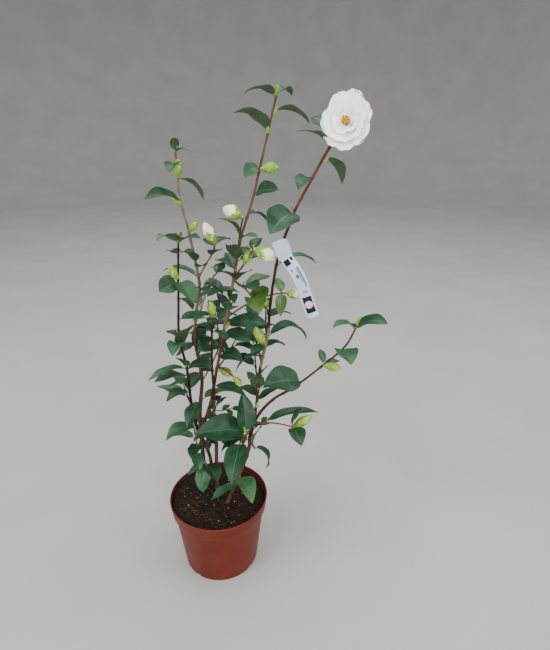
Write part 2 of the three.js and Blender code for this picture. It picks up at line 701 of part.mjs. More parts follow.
const canes = Object.keys(BOUGHS).filter((name) => BOUGHS[name].flare);
solids.set('potting_mix', largestSkin(cutClear(pottingMixSolid(), canes, grownStems)));

// The label hangs on the stem of the flower's foliage
const flowerCane = curveThrough(MASSES.foliage_flower.route);
const flowerCaneRadius = taper(MASSES.foliage_flower.radius)(LABEL_CANE_SHARE, flowerCane);
const flowerCaneRoom = limb(flowerCane, taper(MASSES.foliage_flower.radius), { grow: GAP });
const label = labelHeadSolid(flowerCane, flowerCaneRadius).add(labelStripSolid());
solids.set('label', largestSkin(label.subtract(flowerCaneRoom)));

// Stems of the masses first, so that every leaf is tested against all of them
const shoots = new Map();
for (const [name, mass] of Object.entries(MASSES)) {
  const curve = curveThrough(mass.route);
  const radiusAt = taper(mass.radius);
  const meets = mass.meets ?? [...grownStems.keys()];
  solids.set(name, largestSkin(cutClear(limb(curve, radiusAt), meets, grownStems)));
  grownStems.set(name, limb(curve, radiusAt, { grow: GAP }));
  shoots.set(name, { curve, random: seededRandom(mass.seed), items: [] });
}

// Adds a piece to a mass unless it would touch another solid, and tells whether it did
function fuse(name, piece, tested = piece) {
  for (const [other, solid] of solids) {
    if (other !== name && overlaps(tested, solid)) {
      return false;
    }
  }
  solids.set(name, solids.get(name).add(piece));
  return true;
}

// Sets the leaves and buds that a stem or twig of a mass carries
function dress(name, curve, shoot) {
  const { random } = shoots.get(name);
  for (const [share, ...shape] of shoot.leaves ?? []) {
    const leaf = {
      shape,
      fold: LEAF_FOLD + spread(random, LEAF_FOLD_SPREAD),
      roll: spread(random, LEAF_ROLL_SPREAD),
    };
    const base = curve.getPoint(share);
    fuse(name, leafSolid(base, leaf), leafSolid(base, leaf, LEAF_MARGIN));
  }
  for (const [share, ...shape] of shoot.buds ?? []) {
    fuse(name, budSolid(curve.getPoint(share), shape));
  }
}

// A short twig on the far side, with leaves set alternately to its left and right
function sprout(random, start, heading, length) {
  const steer = radians(heading + spread(random, SPROUT_STEER_SPREAD));
  const steepness = radians(SPROUT_RISE + spread(random, SPROUT_RISE_SPREAD));
  const reach = (share, rise) => [
    start.x + length * share * Math.cos(rise) * Math.cos(steer),
    start.y + length * share * Math.cos(rise) * Math.sin(steer),
    start.z + length * share * Math.sin(rise),
  ];
  const leaves = SPROUT_SHARES.map((share, k) => {
    const side = share === 1 ? 0 : (k % 2 === 0 ? SPROUT_SPLAY : -SPROUT_SPLAY);
    const leafLength = SPROUT_LEAF * (1 + spread(random, SPROUT_LEAF_SPREAD));
    return [
      share,
      heading + side + spread(random, SPROUT_SPLAY_SPREAD),
      SPROUT_LEAF_RISE + spread(random, SPROUT_LEAF_RISE_SPREAD),
      leafLength,
      leafLength * SPROUT_LEAF_SLIMNESS,
      SPROUT_LEAF_BEND + spread(random, SPROUT_LEAF_BEND_SPREAD),
    ];
  });
  const route = [start.toArray(), reach(0.5, steepness), reach(1, steepness * SPROUT_UPTURN)];
  return { route, leaves };
}

for (const [name, mass] of Object.entries(MASSES)) {
  dress(name, shoots.get(name).curve, mass);
  for (const twig of mass.twigs ?? []) {
    const curve = curveThrough(twig.route);
    if (fuse(name, limb(curve, taper(TWIG_RADIUS), { sides: 4 }))) dress(name, curve, twig);
  }
  if (mass.flower) fuse(name, flowerSolid(shoots.get(name).curve.getPoint(1)));
}

for (const [name, mass] of Object.entries(MASSES)) {
  const { curve, random } = shoots.get(name);
  for (const [share, heading, length] of mass.sprouts ?? []) {
    const twig = sprout(random, curve.getPoint(share), heading, length);
    const twigCurve = curveThrough(twig.route);
    if (fuse(name, limb(twigCurve, taper(TWIG_RADIUS), { sides: 4 }))) dress(name, twigCurve, twig);
  }
  solids.set(name, largestSkin(solids.get(name)));
}

function finishOf(name) {
  if (name.startsWith('stem_')) return FINISHES.bark;
  if (name.startsWith('foliage_')) return FINISHES.foliage;
  return FINISHES[name];
}

const plant = new THREE.Group();
for (const [name, solid] of solids) {
  const { vertProperties, triVerts } = solid.getMesh();
  const geometry = new THREE.BufferGeometry();
  geometry.setAttribute('position', new THREE.BufferAttribute(vertProperties, 3));
  geometry.setIndex(new THREE.BufferAttribute(triVerts, 1));
  geometry.computeVertexNormals();
  const material = new THREE.MeshStandardMaterial({ ...finishOf(name), metalness: 0 });
  const mesh = new THREE.Mesh(geometry, material);
  mesh.name = name;
  plant.add(mesh);
}

export default plant;
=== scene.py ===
from math import cos, degrees, pi, radians, sin, sqrt, tan

import bmesh
import bpy
import numpy as np
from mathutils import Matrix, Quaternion, Vector


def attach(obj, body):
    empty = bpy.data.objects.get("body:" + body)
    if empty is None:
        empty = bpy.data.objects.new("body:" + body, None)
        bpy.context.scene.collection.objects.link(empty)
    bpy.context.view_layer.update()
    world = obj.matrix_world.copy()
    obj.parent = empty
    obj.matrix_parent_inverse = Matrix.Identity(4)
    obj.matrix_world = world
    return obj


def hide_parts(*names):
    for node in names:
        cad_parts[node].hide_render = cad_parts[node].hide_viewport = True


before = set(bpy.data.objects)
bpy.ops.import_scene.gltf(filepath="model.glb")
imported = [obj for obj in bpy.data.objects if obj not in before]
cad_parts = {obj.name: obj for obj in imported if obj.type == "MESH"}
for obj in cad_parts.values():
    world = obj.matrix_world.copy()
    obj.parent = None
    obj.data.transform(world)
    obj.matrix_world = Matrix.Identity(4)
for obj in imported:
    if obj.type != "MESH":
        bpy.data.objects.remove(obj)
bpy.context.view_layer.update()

# A potted camellia: four canes and the boughs that fork from them, their foliage, an open flower,
# a tag, the pot and its soil. Sizes are in millimetres up to the moment a mesh is made.
MM = 0.001
TURN = 2 * pi

# Camera, in metres and degrees
CAMERA_PLACE = (0.1108, -0.7365, 0.8261)
CAMERA_DIP = 22.97
CAMERA_LENS = 26.35
CAMERA_SENSOR = 36


def add_object(name, data):
    thing = bpy.data.objects.new(name, data)
    bpy.context.scene.collection.objects.link(thing)
    return thing


camera_data = bpy.data.cameras.new("camera")
camera_data.sensor_fit = "VERTICAL"
camera_data.sensor_height = CAMERA_SENSOR
camera_data.lens = CAMERA_LENS
camera = add_object("camera", camera_data)
camera.location = CAMERA_PLACE
camera.rotation_euler = (radians(90 - CAMERA_DIP), 0, 0)
bpy.context.scene.camera = camera

# Pot
POT_HEIGHT = 153
RIM_RADIUS = 95
BASE_RADIUS = 73
WALL = 2
COLLAR_HEIGHT = 25
COLLAR_STEP = 4.5
COLLAR_SLOPE = 3
POT_SEGMENTS = 144
DRAIN_SLOTS = 4
DRAIN_HEADING = 56
DRAIN_WIDTH = 9
DRAIN_HEIGHT = 5
DRAIN_DEPTH = 10

# Potting mix
SOIL_LEVEL = 140
SOIL_BANK = 6
SOIL_BANK_HEADING = 150
SOIL_RADIUS = 90
SOIL_RELIEF = 1.6
SOIL_CHIPS = 900
SOIL_FIBRES = 90
SOIL_WHITE_BITS = 26
SOIL_RINGS = 56
SOIL_SEGMENTS = 120
SOIL_ROUGHNESS = 0.45
SOIL_EDGE_DROP = 3.4
SOIL_CHIP = (1, 3.4, 2.2)
SOIL_CHIP_SHARES = (0.55, 0.4, 0.05)
WHITE_SIZE = (1, 1.7)
SOIL_FLATNESS = 0.4
WHITE_FLATNESS = 0.7
FIBRE_LENGTH = (8, 20)
FIBRE_BEND = 2
FIBRE_RADIUS = 0.35
SOIL_WAVES = ((0.11, 0.05, 1.3), (-0.07, 0.13, 4.1), (0.19, -0.16, 2.2), (0.31, 0.27, 0.4))

# Floor and light; the aim is in metres
FLOOR_RADIUS = 5000
FLOOR_TURN = 2500
FLOOR_SEGMENTS = 96
WALL_HEIGHT = 7000
LIGHT_AIM = (0.06, 0, 0.45)

# Depth of the fine relief of materials, in metres
RELIEF_DEPTH = 0.0006

# Leaves: a pair of numbers is a middle value and how far it strays
PETIOLE_SHARE = 0.1
PETIOLE_REACH = 1.6
PETIOLE_SINK = 0.5
PETIOLE_RADII = (1.1, 0.9, 0.8, 0.7, 0.3)
TWIG_SIDES = 7
OUTLINE_SKEW = 0.78
OUTLINE_FULLNESS = 0.62
OUTLINE_TAPER = 0.6
TAPER_POWER = 6
LEAF_FOLD = (18, 8)
LEAF_FOLD_POWER = 1.25
LEAF_ROLL = (0, 8)
LEAF_STATIONS = 28
LEAF_COLUMNS = np.array([-1, -0.72, -0.4, -0.03, 0.03, 0.4, 0.72, 1])
LEAF_HALF = 0.22
LEAF_LEAST_HALF = 0.3
LEAF_TOOTH = 0.015
LEAF_VEINS = 6.5
LEAF_VEIN_SLANT = 0.9
LEAF_QUILTING = 0.45
LEAF_QUILT_LEVEL = 0.6
LEAF_QUILT_START = 0.3
LEAF_WAVE = 1.3
LEAF_WAVES = 1.5
LEAF_FULL_RELIEF = 12
RIB_HALF = 0.1
RIB_DEPTH = 0.5
RIB_FADE = 0.7

# Buds: rows of scales are a share of the bud's length and a count
BUD_BLUNTNESS = 0.12
BUD_FOOT_SHARE = 0.05
BUD_FULLNESS = 1.15
BUD_ROUNDNESS = 0.75
BUD_CORE = 0.93
BUD_TOP = 0.92
BUD_OPENING = 0.7
BUD_PETAL_ROW = (0.95, 3)
BUD_TWIST = 1.1
SCALE_FOOT = 0.02
SCALE_ROUNDING = 0.3
SCALE_POWER = 2.5
SCALE_HALF_ANGLE = 1.15
SCALE_TAPER = (1.05, 0.75)
SCALE_PROUD = (0.02, 0.022, 0.15)
SCALE_SIDE_DROP = 0.6
SCALE_HALF = 0.18
OPEN_PALE_FROM = (0.6, 1.05)
BUD_STREAK = 0.24
BUD_PETAL_STREAK = (0.2, 0.5)
BUD_BLUSH_FROM = 0.82
BUD_BLUSH_SPREAD = 6
FLOWER_BUD_WIDTH = 9
# The steps of the core and of a scale, the rows and where scales turn pale, for each kind of bud
FLOWER_BUD = ((15, 16), (14, 10), ((1, 3), (0.72, 3), (0.45, 2)), (0.8, 1.1))
LEAF_BUD = ((9, 8), (6, 4), ((0.9, 2), (0.6, 2)), (0.95, 1.3))

# Sprouts on the far side, as in the solids, with a bud's rise, length and width
SPROUT_SHARES = (0.5, 0.78, 1)
SPROUT_STEER = 12
SPROUT_RISE = (35, 10)
SPROUT_UPTURN = 1.2
SPROUT_SPLAY = 55
SPROUT_STRAY = 12
SPROUT_LEAF = (62, 9.3)
SPROUT_SLIMNESS = 0.42
SPROUT_LEAF_RISE = (25, 15)
SPROUT_LEAF_BEND = (50, 20)
SPROUT_BUD = (50, 12, 4.5)
TWIG_RADIUS = (1.6, 1.3)

# Limbs
LIMB_STEP = 2
LIMB_SIDES = (12, 18)
THICK_LIMB = 2.5
FLARE_REACH = 14
NODE_SWELLING = 0.22
NODE_REACH = 3.5
BOUGH_NODES = (0.3, 0.62, 0.85)
BOUGH_RELIEF = 0.14
TWIG_RELIEF = 0.1
RELIEF_LAYERS = ((0.6, 14, 1), (0.4, 2, 2))
BARK_MINGLE = 0.12

# Spurs: short twigs in leaf joints, each with a leaf bud's rise, length and width
SPUR_CHANCE = 0.42
SPUR_LENGTH = (4, 9)
SPUR_SPLAY = 25
SPUR_RISE = (45, 70)
SPUR_RADII = (0.95, 0.85, 0.75, 0.6)
SPUR_BUD = (60, 6.5, 2.6)

# Fine twigs that the solids leave out
FINE_TWIG_RADIUS = (1, 0.7)
FINE_TWIG_STEPS = 10
FINE_TWIG_SAG = 0.08
FINE_LEAF_SHARES = (0.45, 0.75, 1)
FINE_LEAF = (20, 30)
FINE_SLIMNESS = 0.46
FINE_LEAF_SPLAY = 50
FINE_LEAF_RISE = (-15, 20)
FINE_LEAF_BEND = (30, 80)
FINE_LEAF_ROLL = 20

# The open flower: rows of petals with a count, length, width, lean from the axis and curl
PETAL_ROUNDING = 0.36
PETAL_POWER = 2.3
PETAL_STEPS = (24, 20)
PETAL_LEAN_SPREAD = 3
PETAL_LENGTHS = (0.94, 1.05)
PETAL_FOOT_WIDTH = 0.16
PETAL_BROADENING = 0.8
PETAL_WAVES = ((0.8, 4.2, 2), (0.3, 9, 3))
PETAL_CUP = 4.5
PETAL_ROLL_BACK = 3.2
PETAL_NOTCH = 1.2
PETAL_NOTCH_WIDTH = 0.18
PETAL_HALF = 0.2
PETAL_TURN_SPREAD = 0.1
PETAL_ROWS = (
    (7, 42, 42, 78, 22),
    (5, 37, 43, 58, 14),
    (4, 28, 34, 38, 4),
    (3, 17, 19, 22, -8),
)
FLOWER_HEADING = 250
FLOWER_RISE = 24
FLOWER_NARROWING = 0.13
STAMENS = 60
STAMEN_REACH = 5.5
STAMEN_FOOT_REACH = 0.4
STAMEN_HEIGHT = (14, 18)
STAMEN_RADIUS = 0.35
STAMEN_KNOB = ((-0.8, 0.5), (0, 1), (0.9, 0.5))
FLOWER_CUP = ((-9, 2.5), (-6, 5.5), (-2, 8), (2, 8.5))
# Scorched rims of petals: millimetres right of and above the middle, and a radius
SCORCH_RIM = 0.93
SCORCH_SHARE = 0.7
SCORCHES = (
    (-13, 41, 4), (-5, 43, 4), (10, 39, 5), (16, 33, 4), (27, 20, 4), (30, 8, 4), (15, 4, 3),
    (17, -7, 4), (14, -19, 4),
)

# Tag: a folded head round the flower's cane and a hanging strip
TAG_CANE_SHARE = 0.238
TAG_SHEET = 0.5
TAG_ROOM = 0.35
TAG_GAP = 0.3
TAG_BULGE = 1.7
TAG_HEAD_STEPS = (24, 20)
STRIP_STEPS = (130, 32)
STRIP_CROWN = 0.8
TAG_CORNER = 4
TAG_HEAD = ((-18, -3, 12), (-10, 3, 19), (-2, 10, 19), (5, 16, 15), (12, 9, 10), (19, 1, 4))
STRIP_WIDTH = 20
STRIP_LENGTH = 115
STRIP_ROUTE = ((127, -20, 637), (145, -22, 611), (156, -22, 586), (164.6, -21, 560), (173.7, -20, 536.5))

# The boughs: the radius at the two ends, a flare at the foot, a bark and a route, and fine twigs as
# the bough's share, heading, rise and length
BOUGHS = dict(
    stem_left_centre=dict(radius=(4.6, 3.7), flare=2.4, route=(
        (-30, 31, 134), (-32, 32, 201), (-32, 31, 257), (-33, 30, 303),
    ), twigs=((0.62, 20, 15, 22), (0.86, 70, 25, 30))),
    stem_left=dict(radius=(3.6, 3), flare=1.6, route=(
        (-20, 40, 134), (-19, 44, 195), (-28, 48, 231), (-40, 41, 271),
    ), twigs=((0.8, 330, 20, 20),)),
    stem_inner=dict(radius=(4.2, 2.6), flare=2, route=(
        (-8, 28, 134), (-4, 22, 228), (-2, 18, 276), (-3, 12, 323), (1, 6, 365),
    ), twigs=((0.44, 340, 25, 22), (0.5, 205, 10, 20), (0.84, 350, 15, 34), (0.78, 80, 30, 26))),
    stem_right=dict(radius=(3.6, 3.8), flare=1, route=(
        (15, -11, 134), (27, -6, 164), (41, 0, 198), (60, 8, 251), (64, 12, 280), (69, 14, 306),
    ), twigs=((0.72, 150, 30, 26), (0.88, 40, 25, 24))),
    stem_centre=dict(radius=(3.4, 3.1), route=(
        (-31, 30, 284), (-24, 30, 303), (-16, 30, 322), (-7, 30, 352),
    )),
    stem_flower=dict(radius=(3, 2.8), route=((68, 14, 300), (72, 14, 317), (75, 11, 339))),
    stem_low_right=dict(radius=(2.8, 2.2), bark="brown", route=(
        (68, 14, 302), (85, 16, 333), (111, 20, 359), (141, 24, 375.4),
    )),
)

# The masses of foliage, as in the solids, by the end of the node's name. A leaf is share of the
# stem, heading, rise, length, width, bend and, where it has them, its own roll and tone. A bud is
# share, heading, rise, length, width and how far its colour shows. A sprout is share, heading and
# length.
FIRST_SEED = 11
MASSES = {}
MASSES["left"] = dict(radius=(2.9, 1.5), bark="dark", route=(
    (-40, 41, 270), (-44, 32, 312), (-45, 20, 357), (-44, 4, 427), (-49, -4, 475), (-50, -10, 505),
    (-44, -19, 565), (-39, -26, 615), (-34, -33, 661),
), leaves=(
    (0.02, 215, 45, 72, 36, 90), (0.28, 235, 40, 60, 26, 60), (0.32, 145, -15, 60, 26, 20),
    (0.35, 230, 33, 74, 32, 40), (0.38, 245, 65, 44, 22, 30), (0.38, 325, 40, 66, 30, 40, -25),
    (0.38, 230, 32, 84, 20, 50), (0.51, 265, 50, 54, 30, 90), (0.51, 315, 70, 54, 34, 30),
    (0.59, 125, 5, 46, 22, 20), (0.68, 30, 8, 56, 18, 20, -20), (0.76, 70, -25, 56, 22, 30),
    (0.83, 222, -5, 36, 34, 20, 30), (0.83, 303, 0, 60, 32, 40), (0.95, 120, 10, 44, 20, 30),
    (1, 245, 55, 56, 24, 80), (1, 115, 15, 46, 24, 20), (1, 325, 40, 50, 20, 50),
), buds=((0.84, 205, 60, 27, 14), (1, 0, 85, 18, 5)), sprouts=((0.2, 116, 42),))
MASSES["left_centre"] = dict(radius=(3.6, 1.5), bark="tan", route=(
    (-33, 30, 304), (-28, 28, 350), (-23, 26, 391), (-25, 26, 425), (-30, 26, 470), (-27, 26, 515),
    (-17, 27, 568), (-19, 29, 603), (-29, 32, 665), (-40, 36, 722), (-42, 38, 786),
), leaves=(
    (0.1, 250, -5, 62, 30, 40), (0.1, 45, 10, 96, 28, 50, "young"), (0.26, 60, -10, 50, 24, 30),
    (0.36, 80, 50, 60, 26, 20), (0.39, 165, -25, 50, 24, 20, 20), (0.6, 295, 35, 50, 24, 50),
    (0.66, 160, 40, 72, 20, 70), (0.72, 262, 50, 46, 20, 30), (0.74, 135, 15, 40, 20, 40),
    (0.88, 230, 40, 72, 26, 60, 30), (0.94, 40, -5, 62, 20, 70), (0.97, 265, 30, 44, 24, 80),
    (1, 280, 80, 28, 14, 60), (1, 340, 35, 30, 14, 70), (0.57, 35, 25, 44, 20, 30),
), buds=((0.94, 0, 85, 29, 15), (0.87, 185, 45, 20, 9), (0.8, 0, 45, 22, 12)), twigs=(
    dict(route=((-17, 27, 588), (-4, 20, 611), (9, 13, 632), (17, 6, 652)), leaves=(
        (0.32, 255, 30, 34, 20, 40), (0.62, 305, 40, 40, 22, 30), (0.88, 120, 25, 40, 22, 30),
        (0.95, 60, 30, 44, 18, 60),
    ), buds=((0.97, 180, 65, 38, 18, 0.4),)),
    dict(route=((-18, 27, 563), (-6, 34, 574), (7, 42, 587), (15, 48, 594)),
        leaves=((0.34, 315, 30, 48, 24, 80), (0.78, 70, 30, 34, 20, 20), (1, 110, 5, 36, 20, 20))),
), sprouts=((0.2, 74, 80), (0.34, 80, 80), (0.48, 75, 70)), bands=((0, "old"), (0.4, "tan")))
MASSES["centre"] = dict(radius=(3, 2.1), bark="young", route=(
    (-7, 30, 353), (3, 28, 405), (14, 25, 455), (28, 22, 525), (40, 19, 578), (49, 16, 622),
    (57, 13, 661),
), leaves=(
    (0.3, 315, 30, 66, 30, 40, -20), (0.36, 215, 20, 48, 32, 40, 25), (0.42, 325, 15, 60, 28, 40, -15),
    (0.45, 355, 22, 80, 32, 40, -25), (0.51, 70, 5, 40, 22, 20), (0.52, 205, 10, 34, 20, 30),
    (0.53, 120, 25, 46, 18, 10), (0.55, 270, 35, 40, 20, 60), (0.6, 258, 60, 36, 13, 60),
    (0.6, 285, 45, 44, 18, 90), (0.71, 240, 45, 52, 24, 40), (0.77, 115, 35, 50, 20, 30),
    (0.82, 255, 70, 52, 26, 50),
), buds=((0.43, 0, 55, 19, 7),), twigs=(
    dict(route=((3, 27, 417), (16, 14, 425), (30, 2, 421), (38, -2, 416)),
        buds=((0.15, 350, -25, 30, 15), (1, 320, -30, 23, 12))),
    dict(route=((29, 22, 519), (61, 30, 539), (99, 38, 553), (133, 41, 557)),
        leaves=((0.89, 100, 30, 46, 18, 20, "young"), (0.89, 268, -5, 56, 20, 40, "young")),
        buds=((0.97, 350, -5, 28, 16, 0.3),)),
    dict(route=((43, 18, 592), (55, 8, 609), (66, 0, 626), (78, -8, 646)),
        leaves=((0.7, 105, 30, 42, 18, 30), (0.93, 70, 45, 40, 20, 50)),
        buds=((1, 5, -25, 41, 22, 0.6), (0.52, 0, 65, 26, 13))),
    dict(route=((52, 14, 640), (56, 6, 668), (62, -4, 695)),
        leaves=((0.28, 315, 42, 48, 22, 60), (0.47, 220, 66, 50, 18, 60)),
        buds=((0.99, 180, 25, 33, 22, 0.45),)),
    dict(route=((43, 18, 586), (61, 6, 577), (73, -2, 565), (88, -8, 550)), leaves=(
        (0.04, 320, 50, 48, 24, 30), (0.28, 295, 35, 60, 34, 50), (0.34, 40, 30, 58, 26, 40),
        (0.59, 20, -25, 56, 18, 60), (0.69, 285, 15, 50, 34, 60, "young"),
        (0.89, 80, 35, 48, 30, 30, "young"),
    ), buds=((0.89, 0, 5, 20, 11),)),
), sprouts=((0.2, 65, 70), (0.36, 105, 60), (0.66, 80, 60)),
    bands=((0, "brown"), (0.2, "young"), (0.45, "tan"), (0.82, "young")))
MASSES["centre_top"] = dict(radius=(2.1, 1.4), bark="young", route=(
    (57, 13, 661), (76, 9, 718), (89, 4, 768), (101, -2, 815), (113, -8, 863),
), leaves=(
    (0.15, 45, 15, 44, 18, 70), (0.3, 325, 20, 46, 30, 20, -35), (0.48, 228, 25, 36, 22, 90, 40),
    (0.74, 215, 60, 66, 32, 70, "dark"), (0.89, 15, 18, 60, 20, 68, "dark"), (0.98, 218, 40, 58, 22, 75),
    (1, 55, 40, 42, 20, 80),
), buds=((0.48, 10, 5, 30, 16), (0.99, 275, 55, 17, 6), (0.86, 20, 50, 15, 6), (0.73, 270, 75, 15, 6)))
MASSES["inner"] = dict(radius=(2.5, 1.5), bark="dark", route=(
    (1, 6, 366), (1, -1, 425), (2, -4, 455), (6, -10, 510), (11, -14, 538),
), leaves=(
    (0.12, 338, 16, 66, 26, 45), (0.58, 125, 22, 50, 24, 20), (0.73, 350, 0, 30, 17, 30),
    (0.73, 125, -10, 56, 24, 30), (0.83, 235, 60, 52, 24, 70), (0.8, 100, 10, 36, 18, 20),
), buds=((0.96, 180, 80, 29, 14),))
MASSES["right"] = dict(radius=(2.7, 2.3), bark="dark", route=(
    (75, 11, 340), (78, 8, 362), (83, 4, 419), (91, 0, 460), (99, -4, 500), (102, -8, 541),
    (107, -12, 586),
), leaves=(
    (0.16, 30, 32, 50, 16, 30), (0.19, 125, 10, 58, 30, 30), (0.23, 265, 90, 46, 26, 50),
    (0.3, 245, 55, 44, 26, 60), (0.31, 335, 65, 34, 20, 20), (0.46, 225, 45, 46, 20, 50),
    (0.51, 170, -10, 70, 24, 60), (0.56, 40, 15, 48, 24, 60), (0.56, 240, 25, 46, 24, 40),
    (0.63, 30, 45, 100, 24, 120), (0.66, 110, -15, 34, 18, 30),
), buds=((0.56, 180, 65, 41, 17), (0.02, 315, 70, 18, 7)), sprouts=(
    (0.25, 95, 80), (0.42, 100, 80), (0.6, 100, 60),
), bands=((0, "brown"), (0.36, "tan"), (0.66, "dark")))
MASSES["flower"] = dict(radius=(2.3, 1.8), bark="red", route=(
    (107, -12, 586), (116, -18, 636), (139, -28, 705), (167, -40, 762), (188, -49, 801), (207, -52, 824),
), leaves=(
    (0.14, 35, 35, 88, 20, 80), (0.4, 240, 5, 74, 46, 40, 30, "dark"), (0.56, 245, 35, 52, 26, 90),
    (0.69, 45, 5, 66, 22, 90), (0.79, 218, 38, 66, 18, 45), (0.86, 125, 35, 60, 34, 20, 20),
), buds=((0.66, 0, 35, 13, 5),), bands=((0, "dark"), (0.38, "red")), flower=True)
MASSES["low_right"] = dict(radius=(2.1, 1.6), bark="brown", route=(
    (142, 24, 376), (173, 27, 401), (198, 30, 422), (224, 32, 445), (240, 33, 464), (252, 34, 490),
), leaves=(
    (0.06, 190, 20, 66, 24, 40), (0.12, 205, 23, 80, 54, 32, 35), (0.41, 95, 25, 44, 14, 20),
    (0.42, 30, 5, 36, 16, 20), (0.66, 280, 40, 62, 40, 80), (1, 215, 62, 62, 24, 90),
    (1, 315, 60, 76, 32, 70, -25),
), buds=((0.4, 350, -5, 33, 16), (1, 35, 60, 27, 7), (0.02, 180, 15, 15, 6)))
MASSES["low_spur"] = dict(radius=(1.6, 1.3), bark="young", route=(
    (70, 15, 311), (87, 6, 314), (105, -4, 321), (125, -12, 323), (143, -16, 320),
), leaves=(
    (0.3, 15, 32, 112, 24, 60), (0.96, 335, 75, 50, 24, 20, -30), (1, 287, 10, 48, 30, 40),
), buds=((1, 0, 35, 43, 17),))
MASSES["front"] = dict(radius=(2.2, 1.6), bark="young", route=(
    (66, 11, 296), (56, -2, 292), (46, -12, 283),
), leaves=(
    (0.4, 110, 85, 82, 36, 20), (0.2, 200, 25, 104, 56, 30, 28), (0.6, 220, 35, 44, 22, 20),
    (0.65, 100, -40, 36, 16, 40), (0.8, 170, -15, 56, 26, 50), (0.95, 264, 10, 96, 42, 40, "dark"),
), buds=((0.4, 180, 70, 23, 6),))
MASSES["low_left"] = dict(radius=(1.6, 1.3), bark="tan", route=(
    (-33, 31, 262), (-38, 27, 248), (-44, 22, 236),
), leaves=(
    (0.45, 255, 25, 40, 22, 40), (0.6, 260, 35, 44, 26, 60), (1, 290, -10, 38, 24, 50),
), sprouts=((0.7, 100, 40),))
MASSES["low_centre"] = dict(radius=(1.8, 1.4), bark="tan", route=(
    (-31, 31, 210), (-26, 22, 208), (-18, 12, 204),
), leaves=(
    (0.5, 265, -15, 58, 30, 70), (0.4, 195, -15, 44, 24, 40), (0.8, 300, 30, 52, 34, 60),
))
MASSES["right_curl"] = dict(radius=(1.6, 1.3), bark="young", route=(
    (63, 10, 272), (68, 2, 268), (74, -4, 262),
), leaves=(
    (0.5, 330, 80, 56, 26, 30), (0.7, 0, -10, 64, 20, 110),
))
MASSES["foot"] = dict(radius=(1.7, 1.4), bark="tan", route=(
    (42, 1, 199), (44, -14, 196), (46, -24, 190),
), leaves=(
    (0.3, 292, 45, 80, 36, 90, "pale"), (0.7, 210, 8, 64, 24, 40),
))


# Seeded random numbers from 0 to 1, the same as in the solids
def seeded_random(seed):
    state = seed
    word = 0xFFFFFFFF

    def draw():
        nonlocal state
        state = (state + 0x6D2B79F5) & word
        bits = ((state ^ (state >> 15)) * (state | 1)) & word
        bits ^= (bits + (((bits ^ (bits >> 7)) * (bits | 61)) & word)) & word
        return ((bits ^ (bits >> 14)) & word) / 2 ** 32

    return draw


def about(draw, middle, width):
    return middle + (2 * draw() - 1) * width


# Draws for what the solids leave out, and for the tones of the leaves
looks = np.random.default_rng(4433)
vary = looks.uniform
tone_draw = np.random.default_rng(51)


# Points and directions

def unit(vectors):
    return vectors / np.linalg.norm(vectors, axis=-1, keepdims=True)


def round_angles(count):
    return np.linspace(0, TURN, count, endpoint=False)


def polar(radius, angle, height):
    """Points at a radius, an angle in radians and a height"""
    return np.stack(np.broadcast_arrays(radius * np.cos(angle), radius * np.sin(angle), height), -1)


def facing(heading, rise):
    """The direction of a heading and a rise in degrees"""
    rise = radians(rise)
    return polar(cos(rise), radians(heading), sin(rise))


def lattice(steps):
    """Shares from 0 to 1 down a grid's rows, and from -1 to 1 across its columns"""
    rows, columns = steps
    return np.linspace(0, 1, rows + 1)[:, None], np.linspace(-1, 1, columns + 1)


def turned(points, heading):
    """Points turned about Z by a heading in degrees"""
    angle = radians(heading)
    return points @ np.array([[cos(angle), sin(angle), 0],
                              [-sin(angle), cos(angle), 0], [0, 0, 1]])


def upright_to(direction):
    """The turn that takes the Z axis to a direction"""
    return np.array(Vector((0, 0, 1)).rotation_difference(Vector(direction)).to_matrix())


def placed(points, base, direction):
    """Points round the Z axis turned to a direction and moved to a base"""
    return points @ upright_to(direction).T + base


# Meshes

class Mesh:
    """Vertices in millimetres, faces, and the number of each face's material"""

    def __init__(self):
        self.vertices = []
        self.faces = []
        self.finishes = []
        self.count = 0

    def add(self, vertices, faces, finishes=0):
        vertices = np.reshape(vertices, (-1, 3))
        self.vertices.append(vertices)
        self.faces.extend((np.array(faces) + self.count).tolist())
        self.finishes.extend(np.broadcast_to(finishes, len(faces)).tolist())
        self.count += len(vertices)


def grid_faces(rows, columns, closed=False, start=0):
    """Quads over rows of points; closed joins the last column to the first"""
    a = np.arange(rows - 1)[:, None] * columns
    b = np.arange(columns if closed else columns - 1)[None, :]
    after = (b + 1) % columns
    quads = np.stack([a + b, a + after, a + columns + after, a + columns + b], -1)
    return quads.reshape(-1, 4) + start


def add_tube(mesh, rings, finish=0):
    """A closed tube over an array of rings, with a point at the middle of each end"""
    rows, sides = rings.shape[:2]
    first = mesh.count
    last = first + (rows - 1) * sides
    middle = last + sides
    mesh.add(np.vstack([rings.reshape(-1, 3), rings[0].mean(0), rings[-1].mean(0)]),
             grid_faces(rows, sides, closed=True), np.ravel(finish))
    for k in range(sides):
        after = (k + 1) % sides
        mesh.faces += [[first + k, middle, first + after], [last + after, middle + 1, last + k]]
    mesh.finishes += [int(np.ravel(finish)[-1])] * (2 * sides)


def add_sheet(mesh, top, bottom, top_finish, bottom_finish):
    """A thin closed plate between two grids; a finish may be a number, a row or a grid"""
    rows, columns = top.shape[:2]
    size = rows * columns
    upper = grid_faces(rows, columns)
    lower = grid_faces(rows, columns, start=size)[:, ::-1]
    points = np.arange(size).reshape(rows, columns)
    edge = np.concatenate([points[0, :-1], points[:-1, -1], points[-1, :0:-1], points[:0:-1, 0]])
    before = np.roll(edge, 1)
    rim = np.stack([before, before + size, edge + size, edge], -1)
    cells = (rows - 1, columns - 1)
    finishes = [np.broadcast_to(finish, cells).ravel() for finish in (top_finish, bottom_finish)]
    finishes.append(np.full(len(rim), finishes[1][0]))
    mesh.add(np.stack([top, bottom]), np.vstack([upper, lower, rim]), np.concatenate(finishes))


